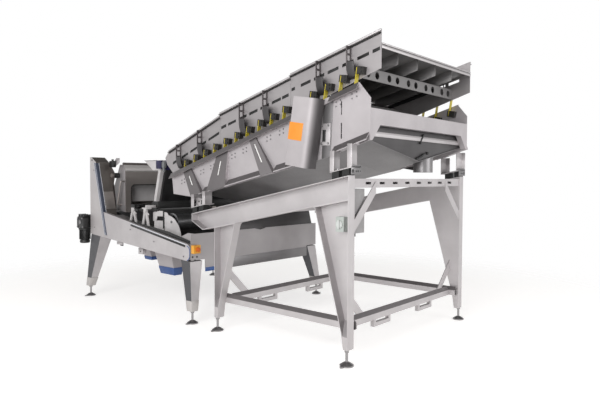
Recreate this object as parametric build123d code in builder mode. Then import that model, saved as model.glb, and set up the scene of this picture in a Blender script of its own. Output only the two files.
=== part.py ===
from build123d import *
from math import cos, radians, sin
import os

os.makedirs("parts", exist_ok=True)

# Directions: +X is the shaker's high feed end, -Y the operator's side, +Z up.
# Every outline below is drawn about the machine's middle plane, with X = 0 at the stand's high feet.

# Stand, in mm
STAND_LENGTH = 1364.0
FOOT_OUT = 113.0
CHANNEL = 72.0
FOOT_IN = 53.0
SHEET = 6.0
LEG_END_Z = 112.0
LEG_KNEE_Z = 225.0
LEG_EDGE = 20.0
LEG_KNEE_WIDTH = 58.0
LEG_END_WIDTH = 40.0
LEG_TAPER = 0.28
LEG_CAP_Z = 204.0
LEG_CAP_RISE = 100.0
RAIL_SLOPE = 0.196
RAIL_TOP_Z = 1318.0
RAIL_DEPTH = 165.0
RAIL_OVERHANG = 326.0
RAIL_CHAMFER = (150.0, 100.0)
TUBE = 50.0
TUBE_WALL = 3.0
TUBE_SIDE = 46.0
TUBE_ROOF = 30.0
FRAME_Z = 238.0
POCKET_WIDTH = 236.0
POCKET_DROP = 58.0
POCKET_BAR = 30.0
POCKET_HALF = 335.0
CROSS_HEIGHT = 65.0
BRACE_WIDTH = 88.0
BRACE_RUN = 270.0
KNEE_RUN = 240.0

# Levelling feet
SPINDLE_R = 10.0
SPINDLE_PLAY = 0.4
SPINDLE_TOP = 190.0
PAD_R = 50.0
NUT_HEIGHT = 16.0
LUG_REACH = 60.0
LUG_HOLE_R = 6.5

# Shaker base
SPRING_BAY = 49.0
BASE_SLOPE = 0.29
BASE_TOP_Z = 1960.0
BASE_FLANGE = 38.0
FLANGE_RISE = 50.0
SEAT = 57.0
BAR_HEIGHT = 40.0
BAR_THICK = 12.0
BASE_LOW_X = -2150.0
BASE_END_X = 108.0
BASE_KNOTS = ((-2124.0, 1149.0), (-1824.0, 1125.0), (-262.0, 1455.0), (BASE_END_X, 1565.0))
ISOLATOR_HEIGHT = 50.0
ISOLATOR_WIDTH = 60.0

# Shaker pan
PAN_HALF = 704.0
PAN_WALL = 4.0
PAN_HIGH_X = 155.0
DECK_DROP = 93.0
SPRING_COUNT = 15
SPRING_PITCH = 139.0
SPRING_SLOPE = 0.315
SPRING_Z = 2056.0
SPRING_THICK = 6.0
SPRING_SIDE = 6.5
CLAMP_SIDE = 7.0
SPRING_SPAN = 175.0
LEAN = 9.5

# Vibrating drive
DRIVE_X = -410.0
DRIVE_Z = 1635.0
COVER_WIDTH = 255.0
COVER_HEIGHT = 510.0
COVER_DEPTH = 110.0
COVER_SHEET = 3.0
SHAFT_R = 14.0
SHAFT_PLAY = 0.05
STATOR_R = 80.0
WEIGHT_R = 68.0

# Sorter
SORTER_HALF = 873.0
BEAM_DEPTH = 40.0
BEAM_END_X = -1735.0
BEAM_END_Z = (549.0, 699.0)
BEAM_RISE = 0.159
BEAM_FALL = 0.0785
TOWER_X = -3485.0
TOWER_Z = 1522.0
TOWER_DEPTH = 151.0
TOWER_LEAN = 0.2697
TOWER_FOOT = (-3143.0, 665.0)
BELT = 3.0
BELT_SIDE = 42.0
TAIL = (-1800.0, 640.0, 50.0)
HEAD = (TOWER_X + 65, 902.0, 40.0)
DRIVER = (TOWER_X - 105, 810.0, 55.0)
AXLE_R = 15.0
DRUM_X = -2240.0
DRUM_R = 85.0
HOOD_SIDE = 82.0
HOOD_PIVOT_Z = 1324.0
HOOD_SHEET = 4.0
GEARBOX = (150.0, 130.0, 110.0)

# The part's own zero lies under the middle of its outline.
CENTRE_X = (PAN_HIGH_X + DRIVER[0] - GEARBOX[0] / 2) / 2

# What the sizes above lead to: the pan's width sets the base and the stand, the sorter's its own pieces.
PAN_OUT = PAN_HALF + PAN_WALL
BASE_IN = PAN_OUT + SPRING_BAY
BASE_OUT = BASE_IN + SHEET
FOOT_HALF = BASE_IN + FOOT_OUT
WEB = FOOT_HALF - FOOT_IN
TOWER_IN = SORTER_HALF - TOWER_DEPTH
SORTER_FOOT_HALF = SORTER_HALF - 3
BELT_HALF = TOWER_IN - BELT_SIDE
HOOD_HALF = TOWER_IN - HOOD_SIDE
OUT = (0, -1, 0)
UP = (sin(radians(LEAN)), 0, cos(radians(LEAN)))
ACROSS = (cos(radians(LEAN)), 0, -sin(radians(LEAN)))


def rail_top(x):
    return RAIL_TOP_Z + RAIL_SLOPE * x


def rail_low(x):
    return rail_top(x) - RAIL_DEPTH


def base_top(x):
    return BASE_TOP_Z + BASE_SLOPE * x


def base_low(x):
    """The base's bottom edge: level with the rail at first, steeper towards the feed end."""
    for (x0, z0), (x1, z1) in zip(BASE_KNOTS, BASE_KNOTS[1:]):
        if x <= x1:
            break
    return z0 + (z1 - z0) * (x - x0) / (x1 - x0)


def beam_top(x):
    return BEAM_END_Z[1] + BEAM_RISE * (BEAM_END_X - x)


def beam_low(x):
    return BEAM_END_Z[0] + BEAM_FALL * (BEAM_END_X - x)


def tower_edge(z):
    """The towers' slanted front edge."""
    return TOWER_FOOT[0] - TOWER_LEAN * (z - TOWER_FOOT[1])


def tower_joint(end_z, slope):
    """Where a beam edge that rises from the infeed end meets the towers' slanted edge."""
    level = end_z + slope * (BEAM_END_X - TOWER_FOOT[0] - TOWER_LEAN * TOWER_FOOT[1])
    z = level / (1 - slope * TOWER_LEAN)
    return tower_edge(z), z


def belt_under(x):
    """The underside of the belt's carrying run."""
    rise = (HEAD[1] + HEAD[2] - TAIL[1] - TAIL[2]) / (TAIL[0] - HEAD[0])
    return TAIL[1] + TAIL[2] + rise * (TAIL[0] - x)


def face(points, y, inset=0.0):
    """A closed outline in X and Z, drawn at the given Y."""
    with BuildSketch(Plane.XZ.offset(-y)) as drawn:
        with BuildLine():
            Polyline(*points, close=True)
        make_face()
        if inset:
            offset(amount=-inset, kind=Kind.INTERSECTION)
    return drawn.sketch


def end_face(points, x, inset=0.0):
    """A closed outline in Y and Z, drawn at the given X."""
    with BuildSketch(Plane.YZ.offset(x)) as drawn:
        with BuildLine():
            Polyline(*points, close=True)
        make_face()
        if inset:
            offset(amount=-inset, kind=Kind.INTERSECTION)
    return drawn.sketch


def disc(x, z, radius, y):
    """A round outline about an axis along Y, drawn at the given Y."""
    with BuildSketch(Plane.XZ.offset(-y)) as drawn:
        with Locations((x, z)):
            Circle(radius)
    return drawn.sketch


def floor_disc(x, y, radius, z):
    """A round outline about an upright axis, drawn at the given height."""
    with BuildSketch(Plane.XY.offset(z)) as drawn:
        with Locations((x, y)):
            Circle(radius)
    return drawn.sketch


def strip(x0, x1, edge, low, high):
    """A band that follows an edge line from x0 to x1, between two heights above it."""
    return [(x0, edge(x0) + low), (x1, edge(x1) + low), (x1, edge(x1) + high), (x0, edge(x0) + high)]


def spring_line(x):
    """The line through the upper clamps."""
    return SPRING_Z + SPRING_SLOPE * x


def leaning(x, z):
    """A plane whose Z leans with the leaf springs."""
    return Plane(origin=(x, 0, z), x_dir=ACROSS, z_dir=UP)


def save(shape, name):
    placed = shape.moved(Location((-CENTRE_X, 0, 0)))
    placed.label = name
    export_step(placed, f"parts/{name}.step")


# Stand legs: tapered channels that open outwards, each closed at its foot with a plate for the spindle.
def leg_outline(foot_x, out):
    inner = LEG_EDGE - LEG_KNEE_WIDTH
    start = rail_low(foot_x) - LEG_KNEE_Z
    reach = (inner - LEG_TAPER * start) / (1 + LEG_TAPER * RAIL_SLOPE * out)
    edge_x = foot_x + out * LEG_EDGE
    inner_x = foot_x + out * reach
    half = LEG_END_WIDTH / 2
    return [
        (foot_x + out * half, LEG_END_Z),
        (edge_x, LEG_KNEE_Z),
        (edge_x, rail_low(edge_x)),
        (inner_x, rail_low(inner_x)),
        (foot_x + out * inner, LEG_KNEE_Z),
        (foot_x - out * half, LEG_END_Z),
    ]


def leg_cap(foot_x, out):
    """The plate that closes a leg's open side at its foot, upright and then leaning in to the web."""
    outer = WEB + CHANNEL
    top = LEG_CAP_Z + LEG_CAP_RISE
    profile = [(-outer, LEG_END_Z), (-outer, LEG_CAP_Z), (-WEB - SHEET, top), (-WEB - SHEET, top - 2 * SHEET),
               (SHEET - outer, LEG_CAP_Z - SHEET), (SHEET - outer, LEG_END_Z)]
    with BuildPart() as part:
        extrude(face(leg_outline(foot_x, out), -WEB), amount=CHANNEL, dir=OUT)
        slab = end_face(profile, foot_x - LEG_KNEE_WIDTH * 2)
        extrude(slab, amount=LEG_KNEE_WIDTH * 4, dir=(1, 0, 0), mode=Mode.INTERSECT)
    return part.part


STAND_ENDS = ((0.0, 1), (-STAND_LENGTH, -1))
LEG_CAPS = [leg_cap(*end) for end in STAND_ENDS]

with BuildPart() as stand_legs:
    for foot_x, out in STAND_ENDS:
        extrude(face(leg_outline(foot_x, out), -WEB), amount=CHANNEL, dir=OUT)
        hollow = face(leg_outline(foot_x, out), -WEB - SHEET, SHEET)
        extrude(hollow, amount=CHANNEL, dir=OUT, mode=Mode.SUBTRACT)
        hole = floor_disc(foot_x, -FOOT_HALF, SPINDLE_R + SPINDLE_PLAY, LEG_END_Z - 1)
        extrude(hole, amount=SHEET + 2, dir=(0, 0, 1), mode=Mode.SUBTRACT)
    add(LEG_CAPS)
    mirror(about=Plane.XZ)
save(stand_legs.part, "stand_legs")

# Side rails: sloping channels, cut back under their low end.
RAIL_LOW_X = -STAND_LENGTH - RAIL_OVERHANG
RAIL = [
    (LEG_EDGE, rail_top(LEG_EDGE)),
    (LEG_EDGE, rail_low(LEG_EDGE)),
    (RAIL_LOW_X + RAIL_CHAMFER[0], rail_low(RAIL_LOW_X + RAIL_CHAMFER[0])),
    (RAIL_LOW_X, rail_low(RAIL_LOW_X) + RAIL_CHAMFER[1]),
    (RAIL_LOW_X, rail_top(RAIL_LOW_X)),
]

with BuildPart() as stand_rails:
    extrude(face(RAIL, -WEB), amount=CHANNEL, dir=OUT)
    extrude(face(RAIL, -WEB - SHEET, SHEET), amount=CHANNEL, dir=OUT, mode=Mode.SUBTRACT)
    mirror(about=Plane.XZ)
save(stand_rails.part, "stand_side_rails")

# Lower frame: tubes between the legs, with a pitched top that sheds water.
TUBE_IN = WEB - TUBE
TUBE_TOP = FRAME_Z + TUBE_SIDE + TUBE_ROOF
END_TUBE_IN = LEG_KNEE_WIDTH / 2 + TUBE + 11 - LEG_EDGE
END_TUBE_X = (-END_TUBE_IN, -STAND_LENGTH + END_TUBE_IN)


def tube_outline(mid):
    shoulder = FRAME_Z + TUBE_SIDE
    low, high = mid - TUBE / 2, mid + TUBE / 2
    return [(low, FRAME_Z), (high, FRAME_Z), (high, shoulder), (mid, TUBE_TOP), (low, shoulder)]


with BuildPart() as lower_frame:
    for inset, mode in ((0, Mode.ADD), (TUBE_WALL, Mode.SUBTRACT)):
        side = end_face(tube_outline(-WEB + TUBE / 2), -STAND_LENGTH - LEG_EDGE / 2, inset)
        extrude(side, amount=STAND_LENGTH + LEG_EDGE, dir=(1, 0, 0), mode=mode)
    mirror(about=Plane.XZ)
    for tube_x in END_TUBE_X:
        for inset, mode in ((0, Mode.ADD), (TUBE_WALL, Mode.SUBTRACT)):
            extrude(face(tube_outline(tube_x), TUBE_IN, inset), amount=2 * TUBE_IN, dir=OUT, mode=mode)
save(lower_frame.part, "lower_frame")

# Fork pockets: square-bar loops under both end tubes.
with BuildPart() as fork_pockets:
    for tube_x in END_TUBE_X:
        with BuildSketch(Plane.YZ.offset(tube_x - POCKET_BAR / 2)):
            with Locations((-POCKET_HALF, FRAME_Z - POCKET_DROP / 2)):
                Rectangle(POCKET_WIDTH, POCKET_DROP)
            with Locations((-POCKET_HALF, FRAME_Z - (POCKET_DROP - POCKET_BAR) / 2)):
                Rectangle(POCKET_WIDTH - 2 * POCKET_BAR, POCKET_DROP - POCKET_BAR, mode=Mode.SUBTRACT)
        extrude(amount=POCKET_BAR)
    mirror(about=Plane.XZ)
save(fork_pockets.part, "fork_pockets")

# Top cross rails: tubes between the side rails, with a row of slots in the outer face.
CROSS_DEPTH = 50.0
SLOT_ROW = 8


def cross_low(foot_x):
    return rail_top(foot_x) - 13 - CROSS_HEIGHT


with BuildPart() as stand_cross_rails:
    for foot_x, out in STAND_ENDS:
        low = cross_low(foot_x - out * CROSS_DEPTH / 2)
        section = [(-WEB, low), (WEB, low), (WEB, low + CROSS_HEIGHT), (-WEB, low + CROSS_HEIGHT)]
        inner_x = foot_x + out * (LEG_EDGE / 2 - CROSS_DEPTH)
        extrude(end_face(section, inner_x), amount=CROSS_DEPTH, dir=(out, 0, 0))
        hollow = end_face(section, inner_x + out * SHEET, SHEET)
        extrude(hollow, amount=CROSS_DEPTH - 2 * SHEET, dir=(out, 0, 0), mode=Mode.SUBTRACT)
        with BuildSketch(Plane.YZ.offset(foot_x)):
            with GridLocations(2 * WEB / (SLOT_ROW + 1), 1, SLOT_ROW, 1):
                with Locations((0, low + CROSS_HEIGHT / 2)):
                    Rectangle(70, 18)
        extrude(amount=out * CROSS_DEPTH, mode=Mode.SUBTRACT)
save(stand_cross_rails.part, "stand_cross_rails")

# Corner braces: flats from the legs to the cross rails and to the end tubes.
with BuildPart() as corner_braces:
    for (foot_x, out), tube_x in zip(STAND_ENDS, END_TUBE_X):
        top = cross_low(foot_x - out * CROSS_DEPTH / 2) + CROSS_HEIGHT - 20
        low = top - BRACE_RUN
        upper = [(-WEB, low - BRACE_WIDTH), (-WEB, low)]
        upper += [(-WEB + BRACE_RUN, top), (-WEB + BRACE_RUN, top - BRACE_WIDTH)]
        extrude(end_face(upper, foot_x + out * LEG_EDGE / 2), amount=SHEET, dir=(out, 0, 0))
        knee = [(-WEB, TUBE_TOP + KNEE_RUN - BRACE_WIDTH), (-WEB, TUBE_TOP + KNEE_RUN)]
        knee += [(-WEB + KNEE_RUN, TUBE_TOP), (-WEB + KNEE_RUN - BRACE_WIDTH, TUBE_TOP)]
        extrude(end_face(knee, tube_x - SHEET / 2), amount=SHEET, dir=(1, 0, 0))
    mirror(about=Plane.XZ)
save(corner_braces.part, "corner_braces")

# Levelling feet: a pad with a bolt-down lug, a threaded spindle and the nut under the leg's end plate.
with BuildPart() as foot:
    with BuildSketch(Plane.XZ):
        with BuildLine():
            Polyline((0, 0), (PAD_R, 0), (PAD_R, 10), (PAD_R * 0.45, 28), (SPINDLE_R, 32),
                     (SPINDLE_R, SPINDLE_TOP), (0, SPINDLE_TOP), close=True)
        make_face()
    revolve(axis=Axis.Z)
    with BuildSketch(Plane.XY.offset(LEG_END_Z - NUT_HEIGHT)):
        RegularPolygon(SPINDLE_R * 1.75, 6)
    extrude(amount=NUT_HEIGHT)
    with BuildSketch(Plane.XY):
        with Locations((0, -LUG_REACH / 2)):
            Rectangle(4 * LUG_HOLE_R, LUG_REACH)
        with Locations((0, -LUG_REACH)):
            Circle(2 * LUG_HOLE_R)
    extrude(amount=9)
    extrude(floor_disc(0, -LUG_REACH, LUG_HOLE_R, -1), amount=12, dir=(0, 0, 1), mode=Mode.SUBTRACT)

SORTER_FEET = (-1708.0, -3498.0)
FOOT_PLACES = (("stand", FOOT_HALF, (0.0, -STAND_LENGTH)), ("sorter", SORTER_FOOT_HALF, SORTER_FEET))
for frame, foot_y, (high_x, low_x) in FOOT_PLACES:
    for end, foot_x in (("high", high_x), ("low", low_x)):
        save(foot.part.moved(Location((foot_x, -foot_y, 0))), f"{frame}_foot_near_{end}")
        save(foot.part.moved(Location((foot_x, foot_y, 0), (0, 0, 180))), f"{frame}_foot_far_{end}")

# Rubber isolators: two blocks at each corner, between the side rail and the base's bracket.
ISOLATOR_X = (-55.0, RAIL_LOW_X + 80)
ISOLATOR_Y = WEB + CHANNEL / 2
ISOLATOR_LONG = 60.0
ISOLATOR_APART = 90.0

with BuildPart() as isolators:
    for corner_x in ISOLATOR_X:
        for side in (-0.5, 0.5):
            mid = corner_x + side * ISOLATOR_APART
            block = strip(mid - ISOLATOR_LONG / 2, mid + ISOLATOR_LONG / 2, rail_top, 0, ISOLATOR_HEIGHT)
            extrude(face(block, -ISOLATOR_Y + ISOLATOR_WIDTH / 2), amount=ISOLATOR_WIDTH, dir=OUT)
    mirror(about=Plane.XZ)
save(isolators.part, "rubber_isolators")

BRACKET_HALF = (ISOLATOR_APART + ISOLATOR_LONG) / 2
BRACKET_SHEET = 8.0


def bracket_outline(mid, inset):
    left = mid - BRACKET_HALF + inset
    right = mid + BRACKET_HALF - inset
    foot = ISOLATOR_HEIGHT + inset
    return [
        (left, rail_top(left) + foot),
        (right, rail_top(right) + foot),
        (right, base_low(right) + 4 * inset),
        (left, base_low(left) + 4 * inset),
    ]


with BuildPart() as isolator_brackets:
    for corner_x in ISOLATOR_X:
        body = face(bracket_outline(corner_x, 0), -BASE_OUT - BAR_THICK)
        extrude(body, amount=ISOLATOR_Y + ISOLATOR_WIDTH / 2 - BASE_OUT - BAR_THICK, dir=OUT)
        gap = face(bracket_outline(corner_x, BRACKET_SHEET), -BASE_OUT)
        extrude(gap, amount=FOOT_HALF, dir=OUT, mode=Mode.SUBTRACT)
    mirror(about=Plane.XZ)
save(isolator_brackets.part, "isolator_brackets")

# Shaker base: side plates with a sloping bottom lip, a top bar and slit ribs that widen downwards.
BASE_TOP_X = 17.0
BASE = [*[(x, base_low(x)) for x, _ in BASE_KNOTS],
        (BASE_END_X, base_top(0) - 103),
        (BASE_TOP_X, base_top(BASE_TOP_X)),
        (BASE_LOW_X, base_top(BASE_LOW_X)),
]
RIBS = ((-1955.0, -1845.0, -1816.0, -1670.0), (-1490.0, -1340.0, -1600.0, -1356.0),
        (-1075.0, -1000.0, -918.0, -788.0))
SLITS = (108.0, 132.0, 188.0)
SLIT_WIDTH = 14.0
FLANGE_GAP = 8.0
FLANGE_RUNS = ((RIBS[0][3], RIBS[1][2]), (RIBS[1][3], RIBS[2][2]), (RIBS[2][3], DRIVE_X - 164),
               (DRIVE_X + 197, BASE_END_X))
END_SLOTS = ((DRIVE_X + 270, 1585.0, 1697.0), (DRIVE_X + 270, 1755.0, 1850.0))
WINDOW = [(DRIVE_X + 98, DRIVE_Z - 110), (DRIVE_X + 161, DRIVE_Z - 110),
          (DRIVE_X + 161, DRIVE_Z + 115), (DRIVE_X + 98, DRIVE_Z + 115)]
DRIVE = leaning(DRIVE_X, DRIVE_Z)
SHAFT_HEIGHTS = (60.0, -140.0)
SHAFTS = [(DRIVE_X + UP[0] * height, DRIVE_Z + UP[2] * height) for height in SHAFT_HEIGHTS]



def rib_section(low_x, high_x, edge, lift, depth):
    """A rib's section on a lifted edge line, and the middle of that section."""
    run = Vector(high_x - low_x, 0, edge(high_x) - edge(low_x))
    middle = Vector((low_x + high_x) / 2, -BASE_OUT, (edge(low_x) + edge(high_x)) / 2 + lift)
    with BuildSketch(Plane(origin=middle, x_dir=run, z_dir=(-run.Z, 0, run.X))) as drawn:
        Rectangle(run.length, depth, align=(Align.CENTER, Align.MAX))
    return drawn.sketch, middle


with BuildPart() as base_sides:
    extrude(face(BASE, -BASE_IN), amount=SHEET, dir=OUT)
    top_bar = strip(BASE_LOW_X, BASE_TOP_X, base_top, -BAR_HEIGHT, 0)
    extrude(face(top_bar, -BASE_OUT), amount=BAR_THICK, dir=OUT)
    fold = Vector(0, -BASE_FLANGE, SHEET / 3 - FLANGE_RISE)
    for x0, x1 in FLANGE_RUNS:
        lip = face(strip(x0 + FLANGE_GAP, x1 - FLANGE_GAP, base_low, FLANGE_RISE, FLANGE_RISE + 1.5 * SHEET), -BASE_OUT)
        extrude(lip, amount=fold.length, dir=fold.normalized())
    for corner_x in ISOLATOR_X:
        seat = strip(corner_x - BRACKET_HALF, corner_x + BRACKET_HALF, base_low, 0, SHEET)
        extrude(face(seat, -BASE_OUT), amount=SEAT, dir=OUT)
    for shaft_x, shaft_z in SHAFTS:
        hole = disc(shaft_x, shaft_z, SHAFT_R + SHAFT_PLAY, -BASE_IN + 1)
        extrude(hole, amount=SHEET + 2, dir=OUT, mode=Mode.SUBTRACT)
    extrude(face(WINDOW, -BASE_IN + 1), amount=SHEET + 2, dir=OUT, mode=Mode.SUBTRACT)
    for slot_x, low, high in END_SLOTS:
        slot = [(slot_x - 5, low), (slot_x + 5, low), (slot_x + 5, high), (slot_x - 5, high)]
        extrude(face(slot, -BASE_IN + 1), amount=SHEET + 2, dir=OUT, mode=Mode.SUBTRACT)
    for (top_low, top_high, foot_low, foot_high), slit in zip(RIBS, SLITS):
        top, top_mid = rib_section(top_low, top_high, base_top, -BAR_HEIGHT - 2, BAR_THICK)
        foot, foot_mid = rib_section(foot_low, foot_high, base_low, 2, BASE_FLANGE)
        loft([top, foot])
        axis = foot_mid - top_mid
        middle = top_mid + axis * 0.4
        with BuildSketch(Plane(origin=middle + Vector(0, -3, 0), x_dir=(-axis.Z, 0, axis.X), z_dir=OUT)):
            Rectangle(SLIT_WIDTH, slit)
        extrude(amount=BASE_FLANGE, mode=Mode.SUBTRACT)
    mirror(about=Plane.XZ)
save(base_sides.part, "base_sides")

# Cross tubes tie the two side plates together.
CROSS_TUBES = (-1900.0, -1350.0, -800.0, -150.0)
CROSS_TUBE_R = 38.0

with BuildPart() as base_tubes:
    for tube_x in CROSS_TUBES:
        tube_z = base_low(tube_x) + 100
        extrude(disc(tube_x, tube_z, CROSS_TUBE_R, BASE_IN), amount=2 * BASE_IN, dir=OUT)
        bore = disc(tube_x, tube_z, CROSS_TUBE_R - 4, BASE_IN)
        extrude(bore, amount=2 * BASE_IN, dir=OUT, mode=Mode.SUBTRACT)
save(base_tubes.part, "base_cross_tubes")

# End channel: a portal between the side plates at the feed end.
PORTAL_TOP = 222.0
PORTAL_DEEP = 48.0
portal_z = base_low(BASE_END_X)
PORTAL = [
    (-BASE_IN, portal_z),
    (-BASE_IN, portal_z + PORTAL_TOP),
    (BASE_IN, portal_z + PORTAL_TOP),
    (BASE_IN, portal_z),
    (BASE_IN - 20, portal_z),
    (BASE_IN - 120, portal_z + PORTAL_TOP / 2),
    (120 - BASE_IN, portal_z + PORTAL_TOP / 2),
    (20 - BASE_IN, portal_z),
]

with BuildPart() as end_channel:
    extrude(end_face(PORTAL, BASE_END_X), amount=PORTAL_DEEP, dir=(-1, 0, 0))
    hollow = end_face(PORTAL, BASE_END_X - SHEET, SHEET)
    extrude(hollow, amount=PORTAL_DEEP, dir=(-1, 0, 0), mode=Mode.SUBTRACT)
save(end_channel.part, "base_end_channel")

# Drip pan: a shallow trough under the decks, with its drain spout at the feed end.
DRIP_EDGE = 34.0
DRIP_SAG = 110.0
DRIP_SHEET = 3.0
DRIP_X = (-1780.0, BASE_KNOTS[2][0], BASE_END_X - PORTAL_DEEP - 4)
SPOUT_X = -30.0
SPOUT_Y = 225.0
SPOUT_R = 80.0
SPOUT_DROP = 61.0


def drip_section(x):
    edge = base_low(x) + DRIP_EDGE
    low = base_low(x) - DRIP_SAG
    points = [(-BASE_IN, edge), (0, low), (BASE_IN, edge)]
    return points + [(y, z - DRIP_SHEET) for y, z in reversed(points)]


with BuildPart() as drip_pan:
    for x0, x1 in zip(DRIP_X, DRIP_X[1:]):
        run = Vector(x1 - x0, 0, base_low(x1) - base_low(x0))
        extrude(end_face(drip_section(x0), x0), amount=run.length, dir=run.normalized())
    spout_z = base_low(SPOUT_X) - DRIP_SAG
    collar = floor_disc(SPOUT_X, SPOUT_Y, SPOUT_R, spout_z + DRIP_SAG)
    extrude(collar, amount=SPOUT_DROP + DRIP_SAG, dir=(0, 0, -1))
    above = drip_section(DRIP_X[1])[:3]
    above += [(y, z + 2 * DRIP_SAG) for y, z in (above[2], above[0])]
    extrude(end_face(above, DRIP_X[1]), amount=run.length, dir=run.normalized(), mode=Mode.SUBTRACT)
    bore = floor_disc(SPOUT_X, SPOUT_Y, SPOUT_R - 4, spout_z + DRIP_SAG)
    extrude(bore, amount=SPOUT_DROP + DRIP_SAG + 1, dir=(0, 0, -1), mode=Mode.SUBTRACT)
save(drip_pan.part, "drip_pan")

# Leaf springs: fibreglass strips between a clamp on the pan's wall and one inside the base's plate.
SPRING_MID = -(PAN_OUT + BASE_IN) / 2
SPRING_OFF = -22.0
CLAMP_LONG = 70.0
CLAMP_TALL = 52.0
CLAMP_GRIP = 20.0
SPRING_X = [-SPRING_PITCH * i for i in range(SPRING_COUNT)]
SPRINGS = [leaning(x, spring_line(x)).location for x in SPRING_X]

with BuildPart() as one_spring:
    with BuildSketch(Plane.XY.offset(-SPRING_SPAN - CLAMP_GRIP)):
        with Locations((SPRING_OFF, SPRING_MID)):
            Rectangle(SPRING_THICK, SPRING_BAY - 2 * SPRING_SIDE)
    extrude(amount=SPRING_SPAN + 2 * CLAMP_GRIP)

with BuildPart() as one_upper_clamp:
    with BuildSketch(Plane.XY.offset(-CLAMP_TALL / 2)):
        with Locations((0, -PAN_OUT)):
            Rectangle(CLAMP_LONG, SPRING_BAY - CLAMP_SIDE, align=(Align.CENTER, Align.MAX))
    extrude(amount=CLAMP_TALL)
    add(one_spring.part, mode=Mode.SUBTRACT)

with BuildPart() as one_lower_clamp:
    with BuildSketch(Plane.XY.offset(-SPRING_SPAN - CLAMP_TALL / 2)):
        with Locations((0, -BASE_IN)):
            Rectangle(CLAMP_LONG, SPRING_BAY - CLAMP_SIDE, align=(Align.CENTER, Align.MIN))
    extrude(amount=CLAMP_TALL)
    add(one_spring.part, mode=Mode.SUBTRACT)

SPRING_ROWS = ((one_spring, "leaf_springs"), (one_upper_clamp, "upper_spring_clamps"),
               (one_lower_clamp, "lower_spring_clamps"))
for one, name in SPRING_ROWS:
    with BuildPart() as row:
        add([one.part.moved(place) for place in SPRINGS])
        mirror(about=Plane.XZ)
    save(row.part, name)

# Pan: three sections one below the other, each with a deck between two walls.
SECTION_GAP = 2.0
WALL_TOPS = (
    ((PAN_HIGH_X, 2323.0), (-677.0, 2116.0)),
    ((-677.0, 2098.0), (-1516.0, 1875.0)),
    ((-1516.0, 1852.0), (-2266.0, 1566.0)),
)
WALL_DROP = 50.0
LIP = ((-2332.0, 1495.0), (-2300.0, 1430.0), (-2190.0, 1330.0))
WALL_FLANGE = 25.0
SLOT_LONG = 100.0
SLOT_TALL = 24.0
SLOT_PITCH = 132.0
SLOT_DROPS = (35.0, 44.0, 55.0)


def wall_low(x):
    return spring_line(x) - WALL_DROP


def section_line(section, drop):
    (x1, z1), (x0, z0) = WALL_TOPS[section]
    return lambda x: z0 + (z1 - z0) * (x - x0) / (x1 - x0) - drop


def section_ends(section):
    (x1, _), (x0, _) = WALL_TOPS[section]
    return x0 + SECTION_GAP / 2, x1 - (SECTION_GAP / 2 if section else 0)


with BuildPart() as pan_walls:
    for section in range(3):
        x0, x1 = section_ends(section)
        top = section_line(section, 0)
        outline = [(x1, wall_low(x1)), (x1, top(x1)), (x0, top(x0))]
        outline += list(LIP) if section == 2 else [(x0, wall_low(x0))]
        extrude(face(outline, -PAN_HALF), amount=PAN_WALL, dir=OUT)
        extrude(face(strip(x0, x1, top, -22, -18), -PAN_OUT), amount=WALL_FLANGE, dir=OUT)
        slot_line = section_line(section, DECK_DROP + SLOT_DROPS[section])
        count = int((x1 - x0 - 60) / SLOT_PITCH)
        for i in range(count):
            mid = (x0 + x1) / 2 + (i - (count - 1) / 2) * SLOT_PITCH
            slot = strip(mid - SLOT_LONG / 2, mid + SLOT_LONG / 2, slot_line, -SLOT_TALL / 2, SLOT_TALL / 2)
            extrude(face(slot, -PAN_HALF + 1), amount=PAN_WALL + 2, dir=OUT, mode=Mode.SUBTRACT)
    mirror(about=Plane.XZ)
save(pan_walls.part, "pan_walls")

# Decks: flat sheets at one drop below the wall tops; the first has a hemmed rim, the last a lip.
DECK = 4.0
DECK_LAP = 25.0
RIM = 26.0

with BuildPart() as pan_decks:
    for section in range(3):
        x0, x1 = section_ends(section)
        line = section_line(section, DECK_DROP)
        low_x = x0 - DECK_LAP if section < 2 else LIP[1][0] + 25
        extrude(face(strip(low_x, x1, line, -DECK, 0), PAN_HALF), amount=2 * PAN_HALF, dir=OUT)
    rim = section_line(0, DECK_DROP)(PAN_HIGH_X)
    rim_points = [(PAN_HIGH_X - RIM, rim - RIM), (PAN_HIGH_X, rim - RIM)]
    rim_points += [(PAN_HIGH_X, rim - 1), (PAN_HIGH_X - RIM, rim - 1)]
    extrude(face(rim_points, PAN_HALF), amount=2 * PAN_HALF, dir=OUT)
save(pan_decks.part, "pan_decks")

# Stringers run under each deck, notched over cross plates with a pair of holes in every bay.
STRINGER_TALL = 150.0
PLATE_DROP = 90.0
STRINGER_Y = (0.2 * PAN_HALF, 0.6 * PAN_HALF)
CROSS_BAYS = ((0.07, 4.03), (8.49,), (12.95,))
CROSS_PLATE_TALL = 86.0
HOLE_R = 27.0
HOLE_APART = 116.0


def plate_top(section, plate_x):
    return section_line(section, DECK_DROP + DECK + PLATE_DROP)(plate_x - SHEET)


with BuildPart() as pan_stringers:
    for section in range(3):
        x0, x1 = section_ends(section)
        under = section_line(section, DECK_DROP + DECK)
        low_x = x0 + (30 if section < 2 else 140)
        for y in STRINGER_Y:
            extrude(face(strip(low_x, x1 - 40, under, -STRINGER_TALL, 0), -y), amount=SHEET, dir=OUT)
            for bay in CROSS_BAYS[section]:
                high, low = 1 - SPRING_PITCH * bay, -SPRING_PITCH * bay - SHEET - 1
                notch_top = plate_top(section, high - 1) + 1
                notch = [(low, notch_top), (high, notch_top)]
                notch += [(high, notch_top - STRINGER_TALL), (low, notch_top - STRINGER_TALL)]
                extrude(face(notch, 1 - y), amount=SHEET + 2, dir=OUT, mode=Mode.SUBTRACT)
    mirror(about=Plane.XZ)
save(pan_stringers.part, "pan_stringers")

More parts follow.
